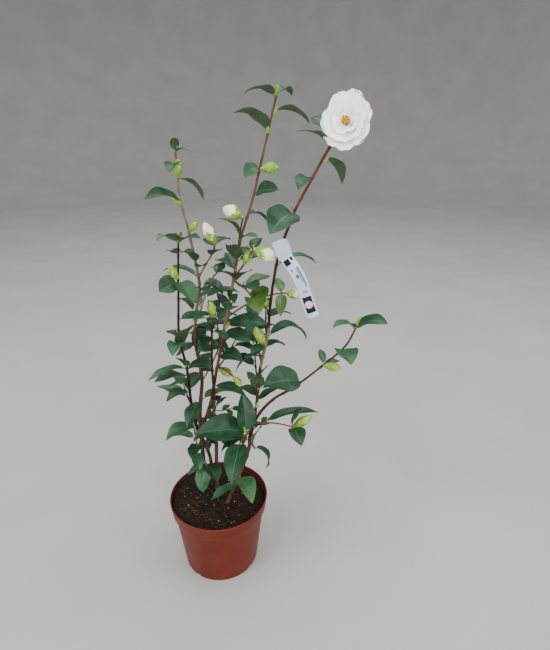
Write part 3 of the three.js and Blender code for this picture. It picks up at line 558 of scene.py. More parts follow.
def metric_mesh(name, mesh, materials=()):
    """The mesh as Blender keeps it, in metres"""
    data = bpy.data.meshes.new(name)
    data.from_pydata((np.vstack(mesh.vertices) * MM).tolist(), [], mesh.faces)
    for material in materials:
        data.materials.append(material)
    data.polygons.foreach_set("material_index", mesh.finishes)
    return data


def make_piece(name, mesh, materials, nodes, sharp=50):
    """A Blender object of the mesh, in place of CAD nodes, that rides on the plant's one body"""
    data = metric_mesh(name, mesh, materials)
    shape = bmesh.new()
    shape.from_mesh(data)
    bmesh.ops.recalc_face_normals(shape, faces=shape.faces)
    shape.to_mesh(data)
    shape.free()
    data.shade_smooth()
    data.set_sharp_from_angle(angle=radians(sharp))
    piece = add_object(name, data)
    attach(piece, "root")
    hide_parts(*nodes)
    return piece


# The plant is gathered in these meshes, its leaves by tone
TONE_SHARES = {"dark": 0.62, "mid": 0.34, "pale": 0.04, "young": 0}
leaves = {tone: Mesh() for tone in TONE_SHARES}
stems = Mesh()
twigs = Mesh()
buds = Mesh()
flower = Mesh()


# Curves and limbs

class Curve:
    """A smooth curve through the points of a route"""

    def __init__(self, route):
        points = np.array(route, float)
        first = 2 * points[0] - points[1]
        last = 2 * points[-1] - points[-2]
        self.points = np.vstack([first, points, last])
        self.spans = len(points) - 1
        self.shares = np.linspace(0, 1, 40 * self.spans + 1)
        steps = np.linalg.norm(np.diff(self.at(self.shares), axis=0), axis=1)
        travelled = np.concatenate([[0], np.cumsum(steps)])
        self.length = travelled[-1]
        self.travelled = travelled / self.length

    def at(self, share):
        place = np.clip(np.atleast_1d(share), 0, 1) * self.spans
        k = np.minimum(place.astype(int), self.spans - 1)
        u = (place - k)[:, None]
        a, b, c, d = (self.points[k + j] for j in range(4))
        return 0.5 * (2 * b + (c - a) * u + (2 * a - 5 * b + 4 * c - d) * u ** 2
                      + (3 * b - a - 3 * c + d) * u ** 3)

    def spaced(self, count):
        """count + 1 points evenly along the length"""
        return self.at(np.interp(np.linspace(0, 1, count + 1), self.travelled, self.shares))


def sweep(centres, radii, sides):
    """Rings round a row of centres; radii has one row for each centre"""
    ahead = unit(np.gradient(centres, axis=0))
    across = np.cross(ahead[0], (0.3, 1, 0.2))
    angles = round_angles(sides)[:, None]
    radii = np.broadcast_to(np.reshape(radii, (len(centres), -1)), (len(centres), sides))
    rings = []
    for centre, direction, radius in zip(centres, ahead, radii):
        across = unit(across - direction * across.dot(direction))
        other = np.cross(direction, across)
        rings.append(centre + radius[:, None] * (np.cos(angles) * across + np.sin(angles) * other))
    return np.array(rings)


def smooth_noise(rows, sides, along, around):
    """A smooth random field on a tube, from about -1 to 1"""
    field = looks.normal(size=(rows, sides))
    for _ in range(around):
        field = (np.roll(field, 1, 1) + 2 * field + np.roll(field, -1, 1)) / 4
    for _ in range(along):
        padded = np.vstack([field[:1], field, field[-1:]])
        field = (padded[:-2] + 2 * padded[1:-1] + padded[2:]) / 4
    return field / (np.abs(field).max() + 1e-9)


def add_limb(mesh, curve, radius, finish, relief, nodes, flare=0, bands=()):
    """A limb with the bark's relief and a swelling at each node; bands are barks and the shares
    where each takes over, uneven round the limb"""
    foot, tip = radius
    count = max(6, int(curve.length / LIMB_STEP))
    sides = LIMB_SIDES[foot > THICK_LIMB]
    along = np.linspace(0, 1, count + 1)
    radii = foot + (tip - foot) * along + flare * np.exp(-along * curve.length / FLARE_REACH)
    for node in nodes:
        radii = radii * (1 + NODE_SWELLING * np.exp(-((along - node) * curve.length / NODE_REACH) ** 2))
    field = sum(part * smooth_noise(count + 1, sides, *layer) for part, *layer in RELIEF_LAYERS)
    for start, bark in bands:
        reached = along[:-1, None] + BARK_MINGLE * field[:-1] > start - BARK_MINGLE * (start == 0)
        finish = np.where(reached, BARK_NAMES.index(bark), finish)
    add_tube(mesh, sweep(curve.spaced(count), radii[:, None] * (1 + relief * field), sides), finish)


# Leaves

def outline(share):
    """How wide a leaf is at a share of its blade, against its widest place"""
    swell = np.sin(pi * share ** OUTLINE_SKEW) ** OUTLINE_FULLNESS
    return swell * (1 - OUTLINE_TAPER * share ** TAPER_POWER)


def midline(share, rise, length, bend):
    """Points of a midline that sets off along X and bends down, with its side and face"""
    turn = radians(1 if abs(bend) < 1 else bend)
    first = radians(rise)
    here = first - turn * share
    zero = np.zeros_like(here)
    out = length * (sin(first) - np.sin(here)) / turn
    up = length * (np.cos(here) - cos(first)) / turn
    side = np.stack([zero, zero - 1, zero], -1)
    return np.stack([out, zero, up], -1), side, np.stack([-np.sin(here), zero, np.cos(here)], -1)


def add_leaf(mesh, base, shape, fold, roll):
    """A leaf with a folded, quilted blade, a pale midrib and a round petiole"""
    heading, rise, length, width, bend, own_roll = (*shape, 0)[:6]
    blade = np.linspace(0, 1, LEAF_STATIONS + 1)
    point, side, face = midline(PETIOLE_SHARE + (1 - PETIOLE_SHARE) * blade, rise, length, bend)
    tilt = radians(roll + own_roll)
    across = (side * cos(tilt) + face * sin(tilt))[:, None]
    upward = (face * cos(tilt) - side * sin(tilt))[:, None]
    tooth = 1 + LEAF_TOOTH * (np.arange(LEAF_STATIONS + 1) % 2)
    half = np.maximum(outline(blade) * width / 2 * tooth, LEAF_LEAST_HALF)[:, None]
    blade = blade[:, None]
    far = np.abs(LEAF_COLUMNS)
    phase = np.where(LEAF_COLUMNS < 0, *vary(0, TURN, 2))
    wave = LEAF_WAVE * np.sin(LEAF_WAVES * TURN * blade + phase) * far ** 2
    quilt = np.abs(np.sin(pi * (LEAF_VEINS * blade - LEAF_VEIN_SLANT * far))) - LEAF_QUILT_LEVEL
    quilt = LEAF_QUILTING * quilt * (1 - far ** 3) * np.minimum(1, far / LEAF_QUILT_START)
    lift = half * tan(radians(fold)) * far ** LEAF_FOLD_POWER
    lift = lift + (wave + quilt) * half / LEAF_FULL_RELIEF
    middle = point[:, None] + across * (half * LEAF_COLUMNS)[..., None] + upward * lift[..., None]
    rib = np.where(far < RIB_HALF, RIB_DEPTH, 0) * (1 - RIB_FADE * blade)
    top = middle + upward * LEAF_HALF
    bottom = middle - upward * (LEAF_HALF + rib)[..., None]
    ribbed = (far[:-1] < RIB_HALF) & (far[1:] < RIB_HALF)
    add_sheet(mesh, base + turned(top, heading), base + turned(bottom, heading),
              np.where(ribbed, 1, 0), np.where(ribbed, 1, 2))
    reach = np.linspace(0, PETIOLE_REACH * PETIOLE_SHARE, len(PETIOLE_RADII))
    stalk, _, stalk_face = midline(reach, rise, length, bend)
    stalk = base + turned(stalk - PETIOLE_SINK * stalk_face, heading)
    add_tube(twigs, sweep(stalk, PETIOLE_RADII, TWIG_SIDES), PETIOLE)


# Buds

def bud_radius(share, width):
    swell = np.sin(pi * np.maximum(share, BUD_FOOT_SHARE) ** BUD_FULLNESS)
    fullness = np.maximum(swell, 0) ** BUD_ROUNDNESS
    return width / 2 * np.maximum(BUD_BLUNTNESS * (1 - share ** 6), fullness)


def add_bud(base, shape):
    """A bud of overlapping scales; the petals show at the tip of a bud that has begun to open"""
    heading, rise, length, width, shows = (*shape, 0)[:5]
    direction = facing(heading, rise)
    blooms = width >= FLOWER_BUD_WIDTH
    (steps, sides), scale_steps, rows, pale_from = FLOWER_BUD if blooms else LEAF_BUD
    share = np.linspace(0, 1, steps)[:, None]
    core = polar(bud_radius(share, width * BUD_CORE), round_angles(sides), share * length)
    add_tube(buds, placed(core, base, direction), BUD_PETAL if shows else BUD_SCALE)
    top = BUD_TOP - shows * BUD_OPENING if blooms else 1
    rows = [(top * high, count, BUD_SCALE) for high, count in rows]
    if shows:
        rows.insert(0, (*BUD_PETAL_ROW, BUD_PETAL))
        pale_from = OPEN_PALE_FROM
    up, side = lattice(scale_steps)

    def add_scale(middle, high, level, finish):
        """A rounded patch that lies on the bud and pales in streaks towards its end"""
        share = SCALE_FOOT + up * high * (1 - SCALE_ROUNDING * np.abs(side) ** SCALE_POWER)
        broad, taper = SCALE_TAPER
        angle = middle + side * SCALE_HALF_ANGLE * np.sqrt(np.clip(broad - taper * up ** 3, 0, 1))
        proud, more, clear = SCALE_PROUD
        proud = width * (proud + more * level) * (1 - SCALE_SIDE_DROP * side ** 2) + clear
        radius = bud_radius(share, width * BUD_CORE) + proud
        outer, inner = (placed(polar(radius + depth, angle, share * length), base, direction)
                        for depth in (SCALE_HALF, -SCALE_HALF))
        faces = np.full(scale_steps, finish)
        if finish == BUD_SCALE:
            pale = vary(*pale_from, scale_steps[1])
            faces[up[1:] > pale] = BUD_EDGE
            if shows:
                faces[up[1:] > pale + BUD_STREAK] = BUD_PETAL
        else:
            streak = vary(*BUD_PETAL_STREAK, scale_steps[1])
            faces[up[1:] < streak] = BUD_EDGE
            faces[share[1:, 1:] > BUD_BLUSH_FROM - streak / BUD_BLUSH_SPREAD] = BUD_BLUSH
        add_sheet(buds, outer, inner, faces, finish)

    start = vary(0, TURN)
    for level, (high, count, finish) in enumerate(rows):
        for k in range(count):
            add_scale(start + TURN * k / count + BUD_TWIST * level, high, level, finish)


# The open flower

def add_petal(base, turn, around, row):
    _, length, width, lean, curl = row
    along, side = lattice(PETAL_STEPS)
    reach = along * (1 - PETAL_ROUNDING * np.abs(side) ** PETAL_POWER * along)
    lean = lean + vary(-PETAL_LEAN_SPREAD, PETAL_LEAN_SPREAD)
    point, across, face = midline(reach, 90 - lean, length * vary(*PETAL_LENGTHS), -curl)
    broad = np.sin(pi / 2 * along ** PETAL_BROADENING)
    half = width / 2 * (PETAL_FOOT_WIDTH + (1 - PETAL_FOOT_WIDTH) * broad)
    phases = vary(0, TURN, 2)
    wave = sum(size * np.sin(waves * side + phase) * along ** power
               for (size, waves, power), phase in zip(PETAL_WAVES, phases))
    cup = PETAL_CUP * side ** 2 * along + wave - PETAL_ROLL_BACK * along ** 4
    notch = PETAL_NOTCH * np.exp(-(side / PETAL_NOTCH_WIDTH) ** 2) * along ** 8
    middle = point + across * (half * side)[..., None] - notch[..., None] * (1, 0, 0)
    top, bottom = (turned(middle + face * (cup + depth)[..., None], degrees(around)) @ turn.T + base
                   for depth in (PETAL_HALF, -PETAL_HALF))
    middles = (top[1:, 1:] + top[:-1, :-1]) / 2 - base
    finish = np.full(PETAL_STEPS, PETAL)
    for x, z, radius in SCORCHES:
        near = (middles[..., 0] - x) ** 2 + (middles[..., 2] - z) ** 2 < radius ** 2
        patchy = vary(size=PETAL_STEPS) < SCORCH_SHARE
        finish[near & patchy & (along[1:] > SCORCH_RIM)] = SCORCH
    finish[:PETAL_STEPS[0] // 3] = PETAL_FOOT
    add_sheet(flower, top, bottom, finish, PETAL)


def add_flower(base):
    """Rows of wavy petals and a heart of stamens, facing along the flower's axis"""
    direction = facing(FLOWER_HEADING, FLOWER_RISE)
    sideways = facing(FLOWER_HEADING + 90, 0)
    turn = (np.eye(3) - FLOWER_NARROWING * np.outer(sideways, sideways)) @ upright_to(direction)

    def add_round(line, radii, sides, finish):
        add_tube(flower, placed(sweep(line, radii, sides), base, direction), finish)

    for level, row in enumerate(PETAL_ROWS):
        for k in range(row[0]):
            uneven = vary(-PETAL_TURN_SPREAD, PETAL_TURN_SPREAD)
            add_petal(base, turn, TURN * (k + 0.5 * level) / row[0] + uneven, row)
    knob_heights, knob_radii = np.array(STAMEN_KNOB).T
    for k in range(STAMENS):
        out = STAMEN_REACH * sqrt(vary(0, 1))
        angle = vary(0, TURN)
        tip = polar(out, angle, vary(*STAMEN_HEIGHT))
        line = np.linspace(polar(STAMEN_FOOT_REACH * out, angle, 1), tip, 4)
        add_round(line, np.full(4, STAMEN_RADIUS), 5, STAMEN)
        add_round(tip + np.outer(knob_heights, (0, 0, 1)), knob_radii, 6, STAMEN)
    cup_heights, cup_radii = np.array(FLOWER_CUP).T
    add_round(np.outer(cup_heights, (0, 0, 1)), cup_radii, 16, BUD_SCALE)


# Materials

def set_inputs(node, inputs):
    for socket, value in inputs.items():
        node.inputs[socket.replace("_", " ").title()].default_value = value


def surface(name, dark, light, scale, roughness, bump=0.1, bump_scale=900, stretch=1,
            rough_spread=0.08, band=(0.35, 0.65), shine=0.5, **sockets):
    """A material that drifts between two colours, with fine relief and uneven gloss; its noise
    is in features per metre"""
    material = bpy.data.materials.new(name)
    material.use_nodes = True
    tree = material.node_tree
    shader = tree.nodes["Principled BSDF"]

    def add(kind, **inputs):
        node = tree.nodes.new("ShaderNode" + kind)
        set_inputs(node, inputs)
        return node

    coordinates = add("TexCoord")

    def drive(node, socket, size, detail):
        mapping = add("Mapping", scale=(1, 1, stretch))
        noise = add("TexNoise", scale=size, detail=detail)
        tree.links.new(coordinates.outputs["Object"], mapping.inputs["Vector"])
        tree.links.new(mapping.outputs["Vector"], noise.inputs["Vector"])
        tree.links.new(noise.outputs["Fac"], node.inputs[socket])

    ramp = add("ValToRGB")
    for element, place, colour in zip(ramp.color_ramp.elements, band, (dark, light)):
        element.position = place
        element.color = (*colour, 1)
    drive(ramp, "Fac", scale, 6)
    tree.links.new(ramp.outputs["Color"], shader.inputs["Base Color"])
    gloss = add("MapRange", to_min=roughness - rough_spread, to_max=roughness + rough_spread)
    drive(gloss, "Value", scale * 2.3, 4)
    tree.links.new(gloss.outputs["Result"], shader.inputs["Roughness"])
    relief = add("Bump", strength=bump, distance=RELIEF_DEPTH)
    drive(relief, "Height", bump_scale, 5)
    tree.links.new(relief.outputs["Normal"], shader.inputs["Normal"])
    shader.inputs["Specular IOR Level"].default_value = shine
    set_inputs(shader, sockets)
    return material


def surfaces(prefix, rows, **shared):
    """Materials of one kind: each row has a name, two colours and the settings after them"""
    return [surface(prefix + name, *row, **shared) for name, *row in rows]


BARKS = (
    ("tan", (0.1, 0.058, 0.038), (0.2, 0.13, 0.088), 160, 0.75, 0.5, 1400, 0.25),
    ("old", (0.037, 0.019, 0.012), (0.085, 0.048, 0.032), 150, 0.75, 0.5, 1400, 0.25),
    ("dark", (0.012, 0.0045, 0.003), (0.034, 0.013, 0.008), 150, 0.7, 0.4, 1400, 0.3),
    ("young", (0.075, 0.026, 0.013), (0.14, 0.059, 0.032), 140, 0.6, 0.35, 1400, 0.3),
    ("red", (0.058, 0.018, 0.011), (0.112, 0.042, 0.026), 140, 0.5, 0.3, 1400, 0.3),
    ("brown", (0.021, 0.0075, 0.0045), (0.054, 0.022, 0.013), 140, 0.62, 0.3, 1400, 0.3),
)
BARK_NAMES = [row[0] for row in BARKS]
BARK_FINISHES = surfaces("bark_", BARKS, shine=0.2)
PETIOLE = len(BARKS)
PETIOLE_FINISH = surface("petiole", (0.06, 0.085, 0.018), (0.11, 0.14, 0.032), 120, 0.5)

LEAF_FINISHES = surfaces("leaf_", (
    ("dark", (0.0085, 0.035, 0.014), (0.018, 0.065, 0.028), 55, 0.42, 0.12, 1500),
    ("mid", (0.0165, 0.061, 0.023), (0.03, 0.1, 0.041), 55, 0.44, 0.12, 1500),
    ("pale", (0.03, 0.085, 0.026), (0.055, 0.14, 0.045), 55, 0.44, 0.12, 1500),
    ("young", (0.034, 0.082, 0.009), (0.062, 0.13, 0.02), 55, 0.44, 0.12, 1500),
), shine=0.26, coat_weight=0.06, coat_roughness=0.35)
LEAF_VEIN = surface("leaf_vein", (0.035, 0.085, 0.03), (0.055, 0.12, 0.045), 90, 0.45)
LEAF_UNDER = surface("leaf_underside", (0.024, 0.05, 0.018), (0.042, 0.08, 0.03), 60, 0.6)

BUD_SCALE, BUD_EDGE, BUD_PETAL, BUD_BLUSH, PETAL, SCORCH, PETAL_FOOT, STAMEN = range(8)
FLOWER_FINISHES = [
    surface("bud_scale", (0.125, 0.24, 0.014), (0.26, 0.4, 0.036), 110, 0.48, subsurface_weight=0.05),
    surface("bud_edge", (0.38, 0.48, 0.1), (0.54, 0.61, 0.2), 110, 0.52),
    *surfaces("", (
        ("bud_petal", (0.86, 0.82, 0.56), (0.94, 0.89, 0.74), 90, 0.52),
        ("bud_blush", (0.7, 0.44, 0.34), (0.86, 0.65, 0.5), 200, 0.55),
        ("petal", (0.94, 0.94, 0.94), (0.98, 0.98, 0.97), 45, 0.6, 0.15, 700),
    ), subsurface_weight=0.08),
    surface("petal_scorch", (0.5, 0.27, 0.06), (0.74, 0.5, 0.18), 300, 0.8),
    surface("petal_foot", (0.86, 0.7, 0.3), (0.94, 0.87, 0.6), 90, 0.6, subsurface_weight=0.08),
    surface("stamen", (0.56, 0.27, 0.001), (0.74, 0.4, 0.003), 300, 0.6, shine=0.15),
]


# The plant

def grow(shoot, draw, bark, radius=TWIG_RADIUS):
    """A stem or twig with the leaves and buds that it carries, and spurs in some of its leaf
    joints: short fine twigs that end in a small leaf bud; returns its curve"""
    curve = Curve(shoot["route"])
    rows = shoot.get("leaves", ())
    nodes = sorted({row[0] for row in rows if 0.02 < row[0] < 0.99})
    add_limb(twigs, curve, radius, bark, TWIG_RELIEF, nodes, bands=shoot.get("bands", ()))
    for share, *shape in rows:
        fold = about(draw, *LEAF_FOLD)
        roll = about(draw, *LEAF_ROLL)
        own_tone = shape.pop() if isinstance(shape[-1], str) else None
        drawn = tone_draw.choice(list(leaves), p=list(TONE_SHARES.values()))
        add_leaf(leaves[own_tone or drawn], curve.at(share)[0], shape, fold, roll)
    for share, *shape in shoot.get("buds", ()):
        add_bud(curve.at(share)[0], shape)
    for share, heading, *_ in rows:
        if vary() > SPUR_CHANCE:
            continue
        start = curve.at(share)[0]
        way = facing(heading + vary(-SPUR_SPLAY, SPUR_SPLAY), vary(*SPUR_RISE))
        line = np.linspace(start, start + way * vary(*SPUR_LENGTH), len(SPUR_RADII))
        add_tube(twigs, sweep(line, SPUR_RADII, TWIG_SIDES), bark)
        add_bud(line[-1], (heading, *SPUR_BUD))
    return curve


def sprout(draw, start, heading, length):
    """A short twig on the far side, with leaves set alternately to its left and right"""
    steer = about(draw, heading, SPROUT_STEER)
    rise = about(draw, *SPROUT_RISE)
    made = []
    for k, share in enumerate(SPROUT_SHARES):
        side = 0 if share == 1 else SPROUT_SPLAY * (-1) ** k
        size = about(draw, *SPROUT_LEAF)
        made.append((share, about(draw, heading + side, SPROUT_STRAY),
                     about(draw, *SPROUT_LEAF_RISE), size, size * SPROUT_SLIMNESS,
                     about(draw, *SPROUT_LEAF_BEND)))
    route = (start, start + length / 2 * facing(steer, rise),
             start + length * facing(steer, rise * SPROUT_UPTURN))
    return dict(route=route, leaves=made, buds=((1, heading, *SPROUT_BUD),))


def add_fine_twig(curve, row):
    """A fine twig with small dark leaves, set to its left and right in turn"""
    share, heading, rise, length = row
    start = curve.at(share)[0]
    end = start + length * facing(heading, rise)
    middle = (start + end) / 2 - (0, 0, FINE_TWIG_SAG * length)
    twig = Curve((start, middle, end))
    radii = np.linspace(*FINE_TWIG_RADIUS, FINE_TWIG_STEPS + 1)
    add_tube(twigs, sweep(twig.spaced(FINE_TWIG_STEPS), radii, TWIG_SIDES), BARK_NAMES.index("dark"))
    for k, place in enumerate(FINE_LEAF_SHARES):
        side = 0 if place == 1 else FINE_LEAF_SPLAY * (-1) ** k
        size = vary(*FINE_LEAF)
        shape = (heading + side, rise + vary(*FINE_LEAF_RISE), size,
                 size * FINE_SLIMNESS, vary(*FINE_LEAF_BEND))
        roll = vary(-FINE_LEAF_ROLL, FINE_LEAF_ROLL)
        add_leaf(leaves["dark"], twig.at(place)[0], shape, LEAF_FOLD[0], roll)


for bough in BOUGHS.values():
    curve = Curve(bough["route"])
    bark = BARK_NAMES.index(bough.get("bark", "old"))
    add_limb(stems, curve, bough["radius"], bark, BOUGH_RELIEF, BOUGH_NODES, bough.get("flare", 0))
    for row in bough.get("twigs", ()):
        add_fine_twig(curve, row)

for seed, mass in enumerate(MASSES.values(), FIRST_SEED):
    draw = seeded_random(seed)
    bark = BARK_NAMES.index(mass["bark"])
    curve = grow(mass, draw, bark, mass["radius"])
    for twig in mass.get("twigs", ()):
        grow(twig, draw, bark)
    for share, heading, length in mass.get("sprouts", ()):
        grow(sprout(draw, curve.at(share)[0], heading, length), draw, bark)
    if mass.get("flower"):
        add_flower(curve.at(1)[0])

foliage = ["foliage_" + name for name in MASSES]
make_piece("stems_bark", stems, BARK_FINISHES, BOUGHS)
make_piece("twigs", twigs, [*BARK_FINISHES, PETIOLE_FINISH], foliage)
for (tone, mesh), finish in zip(leaves.items(), LEAF_FINISHES):
    make_piece("leaves_" + tone, mesh, [finish, LEAF_VEIN, LEAF_UNDER], foliage)
make_piece("buds", buds, FLOWER_FINISHES[:PETAL], foliage, sharp=60)
make_piece("flower", flower, FLOWER_FINISHES, ["foliage_flower"], sharp=60)


# Tag

TAG_PLAIN, TAG_DARK, TAG_GREY, TAG_ORANGE, TAG_PINK = range(5)
TAG_FINISHES = [
    surface("tag_white", (0.41, 0.5, 0.66), (0.49, 0.58, 0.74), 40, 0.42, 0.05, 400),
    surface("tag_dark", (0.006, 0.006, 0.01), (0.016, 0.016, 0.022), 60, 0.5, 0.05, shine=0.15),
    *surfaces("tag_", (
        ("grey", (0.035, 0.05, 0.11), (0.08, 0.1, 0.18), 60, 0.45, 0.05),
        ("orange", (0.5, 0.12, 0.03), (0.58, 0.17, 0.06), 60, 0.45, 0.05),
        ("pink", (0.58, 0.36, 0.42), (0.68, 0.47, 0.53), 60, 0.45, 0.05),
    )),
]
# The plain printed patches of the strip: from and to along it, from and to across it
TAG_PATCHES = (
    (0.04, 0.13, -0.1, 0.8, TAG_DARK), (0.04, 0.09, -0.75, -0.4, TAG_DARK),
    (0.2, 0.23, 0.3, 0.6, TAG_GREY), (0.3, 0.36, -0.05, 0.4, TAG_GREY),
    (0.2, 0.52, -0.625, -0.45, TAG_GREY), (0.2, 0.44, -0.45, -0.375, TAG_GREY),
    (0.2, 0.44, -0.25, -0.1, TAG_GREY), (0.57, 0.6, -0.5, 0.3, TAG_ORANGE),
    (0.66, 0.92, -0.78, 0.78, TAG_DARK),
)
TAG_DISC_PLACE = 0.79
TAG_DISC_RADIUS = 6.8


def add_tag(mesh, cane, cane_radius):
    centre = cane.at(TAG_CANE_SHARE)[0]
    ahead = unit(cane.at(TAG_CANE_SHARE + 0.01)[0] - centre)
    front = unit(np.array([0, -1, 0]) + ahead * ahead[1])
    side = -np.cross(front, ahead)
    heights, lefts, rights = np.array(TAG_HEAD, float).T
    up, across = lattice(TAG_HEAD_STEPS)
    height = heights[0] + up * (heights[-1] - heights[0])
    left = np.interp(height, heights, lefts)
    right = np.interp(height, heights, rights)
    sideways = (right - left + across * (right + left)) / 2
    room = cane_radius + TAG_ROOM
    forward = room * np.exp(-(sideways / (TAG_BULGE * room)) ** 2) + TAG_GAP
    plate = centre + height[..., None] * ahead + sideways[..., None] * side
    for way in (front, -front):
        inner = plate + forward[..., None] * way
        add_sheet(mesh, inner + TAG_SHEET * way, inner, TAG_PLAIN, TAG_PLAIN)
    place, across = lattice(STRIP_STEPS)
    centres = Curve(STRIP_ROUTE).spaced(STRIP_STEPS[0])
    along = unit(np.gradient(centres, axis=0))
    wide = unit(np.cross((0, 1, 0), along))
    thick = np.cross(along, wide)[:, None]
    corner = np.clip(1 - (1 - place) * STRIP_LENGTH / TAG_CORNER, 0, 1)
    half = STRIP_WIDTH / 2 - TAG_CORNER * (1 - np.sqrt(1 - corner ** 2))
    crown = STRIP_CROWN * (1 - across ** 2)[..., None]
    plate = centres[:, None] + (half * across)[..., None] * wide[:, None] - crown * thick
    finish = np.full(STRIP_STEPS, TAG_PLAIN)
    down = (place[1:] + place[:-1]) / 2
    middle = (across[1:] + across[:-1]) / 2
    for low, high, left, right, colour in TAG_PATCHES:
        finish[(down > low) & (down < high) & (middle > left) & (middle < right)] = colour
    out = np.hypot(middle * STRIP_WIDTH / 2, (down - TAG_DISC_PLACE) * STRIP_LENGTH)
    finish[out < TAG_DISC_RADIUS] = TAG_PINK
    add_sheet(mesh, plate - TAG_SHEET / 2 * thick, plate + TAG_SHEET / 2 * thick, finish, TAG_PLAIN)


tag = Mesh()
flower_cane = MASSES["flower"]
add_tag(tag, Curve(flower_cane["route"]), flower_cane["radius"][0])
make_piece("tag", tag, TAG_FINISHES, ["label"])


# Pot

def arc(centre, radius, start, end, count=6):
    """Points of a quarter round, as radius and height"""
    angles = np.radians(np.linspace(start, end, count))
    return [(centre[0] + radius * cos(a), centre[1] + radius * sin(a)) for a in angles]


def lathe(profile, segments):
    """The rings of a profile of radii and heights turned round the Z axis"""
    radii, heights = np.array(profile, float).T[..., None]
    return polar(radii, round_angles(segments), heights)


# The profile runs out along the underside, up the wall, over the rim and back down inside
collar_foot = POT_HEIGHT - COLLAR_HEIGHT
body_top = RIM_RADIUS - COLLAR_STEP - COLLAR_SLOPE
collar_radius = body_top + COLLAR_STEP
profile = [
    (0, 1), (BASE_RADIUS - 8, 1), (BASE_RADIUS - 6.5, 0), *arc((BASE_RADIUS - 2.5, 2.5), 2.5, -90, 0),
    *[(BASE_RADIUS + (body_top - BASE_RADIUS) * k / 8, 2.5 + (collar_foot - 3.5) * k / 8)
      for k in range(1, 8)],
    (body_top, collar_foot - 1.4), (body_top + 0.6, collar_foot - 0.5),
    *arc((collar_radius - 0.8, collar_foot + 0.8), 0.8, -90, 0, 4),
    (collar_radius + 0.5, collar_foot + 5), (RIM_RADIUS - 0.5, POT_HEIGHT - 4.5),
    *arc((RIM_RADIUS - 1.1, POT_HEIGHT - 1.1), 1.1, 10, 90, 5),
    *arc((RIM_RADIUS - WALL + 0.4, POT_HEIGHT - 0.9), 0.9, 90, 180, 4),
    (collar_radius - WALL, collar_foot + WALL), (body_top - WALL, collar_foot - 1 + WALL),
    (BASE_RADIUS - WALL, 3), (0, 3),
]
# The last rows of the profile, down the inside of the wall and over the inner floor, take the second
# finish: the pot's plastic made darker and duller, as painted shade inside the pot
wall_finish = np.zeros((len(profile) - 1, POT_SEGMENTS), int)
wall_finish[-4:] = 1
pot = Mesh()
add_tube(pot, lathe(profile, POT_SEGMENTS), wall_finish)
# The second finish is the same plastic, darker and duller: painted shade for the inside of the pot
POT_FINISHES = [
    surface("pot_plastic", (0.088, 0.009, 0.0028), (0.125, 0.016, 0.0055), 26, 0.42, 0.12, 500,
            band=(0.3, 0.75), rough_spread=0.12, shine=0.22),
    surface("pot_inside_painted_shade", (0.05, 0.014, 0.0085), (0.075, 0.022, 0.014), 26, 0.5, 0.12, 500, shine=0.2),
]
pot_piece = make_piece("pot_shell", pot, POT_FINISHES, ["pot"], sharp=40)

# The drain slots are cut out of the foot of the pot
BOX_FACES = ((0, 1, 3, 2), (4, 6, 7, 5), (0, 4, 5, 1), (2, 3, 7, 6), (0, 2, 6, 4), (1, 5, 7, 3))
slots = Mesh()
corners = np.array([(x, y, z) for x in (-DRAIN_DEPTH, DRAIN_DEPTH)
                    for y in (-DRAIN_WIDTH / 2, DRAIN_WIDTH / 2) for z in (-DRAIN_HEIGHT, DRAIN_HEIGHT)])
for k in range(DRAIN_SLOTS):
    heading = DRAIN_HEADING + 360 * k / DRAIN_SLOTS
    slots.add(turned(corners + (BASE_RADIUS, 0, 0), heading), BOX_FACES)
cutter = add_object("slots", metric_mesh("slots", slots))
cut = pot_piece.modifiers.new("slots", "BOOLEAN")
cut.operation = "DIFFERENCE"
cut.solver = "EXACT"
cut.object = cutter
bpy.context.view_layer.update()
drained = pot_piece.evaluated_get(bpy.context.evaluated_depsgraph_get())
pot_mesh = bpy.data.meshes.new_from_object(drained)
pot_piece.modifiers.clear()
pot_piece.data = pot_mesh
bpy.data.objects.remove(cutter)


# Potting mix: an uneven top with chips of bark, fibres and a few white bits

def soil_height(x, y):
    bank = radians(SOIL_BANK_HEADING)
    rise = SOIL_BANK * (x * cos(bank) + y * sin(bank)) / SOIL_RADIUS
    waves = sum(np.sin(a * x + b * y + c) for a, b, c in SOIL_WAVES)
    return rise + waves * SOIL_RELIEF / len(SOIL_WAVES)


radii = np.concatenate([[SOIL_RADIUS], np.linspace(SOIL_RADIUS - 0.6, 1, SOIL_RINGS)])
top = polar(radii[:, None], round_angles(SOIL_SEGMENTS), 0.0)
top[..., 2] = SOIL_LEVEL - 0.6 + soil_height(top[..., 0], top[..., 1])
top[..., 2] += vary(-SOIL_ROUGHNESS, SOIL_ROUGHNESS, top.shape[:2])
top[0, :, 2] = top[1, :, 2] - SOIL_EDGE_DROP
foot = ((BASE_RADIUS - WALL - 0.5, 3.5), (body_top - WALL - 0.5, 127))
soil = Mesh()
add_tube(soil, np.vstack([lathe(foot, SOIL_SEGMENTS), top]))
SOIL_FINISHES = surfaces("soil_", (
    ("dark", (0.007, 0.005, 0.0035), (0.025, 0.016, 0.012), 300, 0.95, 0.8, 1800),
    ("brown", (0.022, 0.013, 0.008), (0.05, 0.028, 0.018), 300, 0.9, 0.6, 1800),
    ("tan", (0.055, 0.036, 0.023), (0.1, 0.065, 0.042), 300, 0.9, 0.6, 1800),
), shine=0.08)
SOIL_FINISHES.append(surface("soil_white", (0.34, 0.33, 0.3), (0.48, 0.46, 0.43), 300, 0.9, 0.6, 1800))
SOIL_WHITE = 3
make_piece("soil", soil, SOIL_FINISHES, ["potting_mix"], sharp=180)


def chip(size, flat):
    """An irregular flake with six corners"""
    corners = np.array([(-1, 0, 0), (1, 0, 0), (0, -0.6, 0), (0, 0.6, 0), (0, 0, flat), (0, 0, -flat)])
    corners = corners * size + vary(-0.22, 0.22, (6, 3)) * size
    turn = Quaternion((1, 0, 0), vary(-0.6, 0.6)).to_matrix()
    return turned(corners @ np.array(turn).T, vary(0, 360))


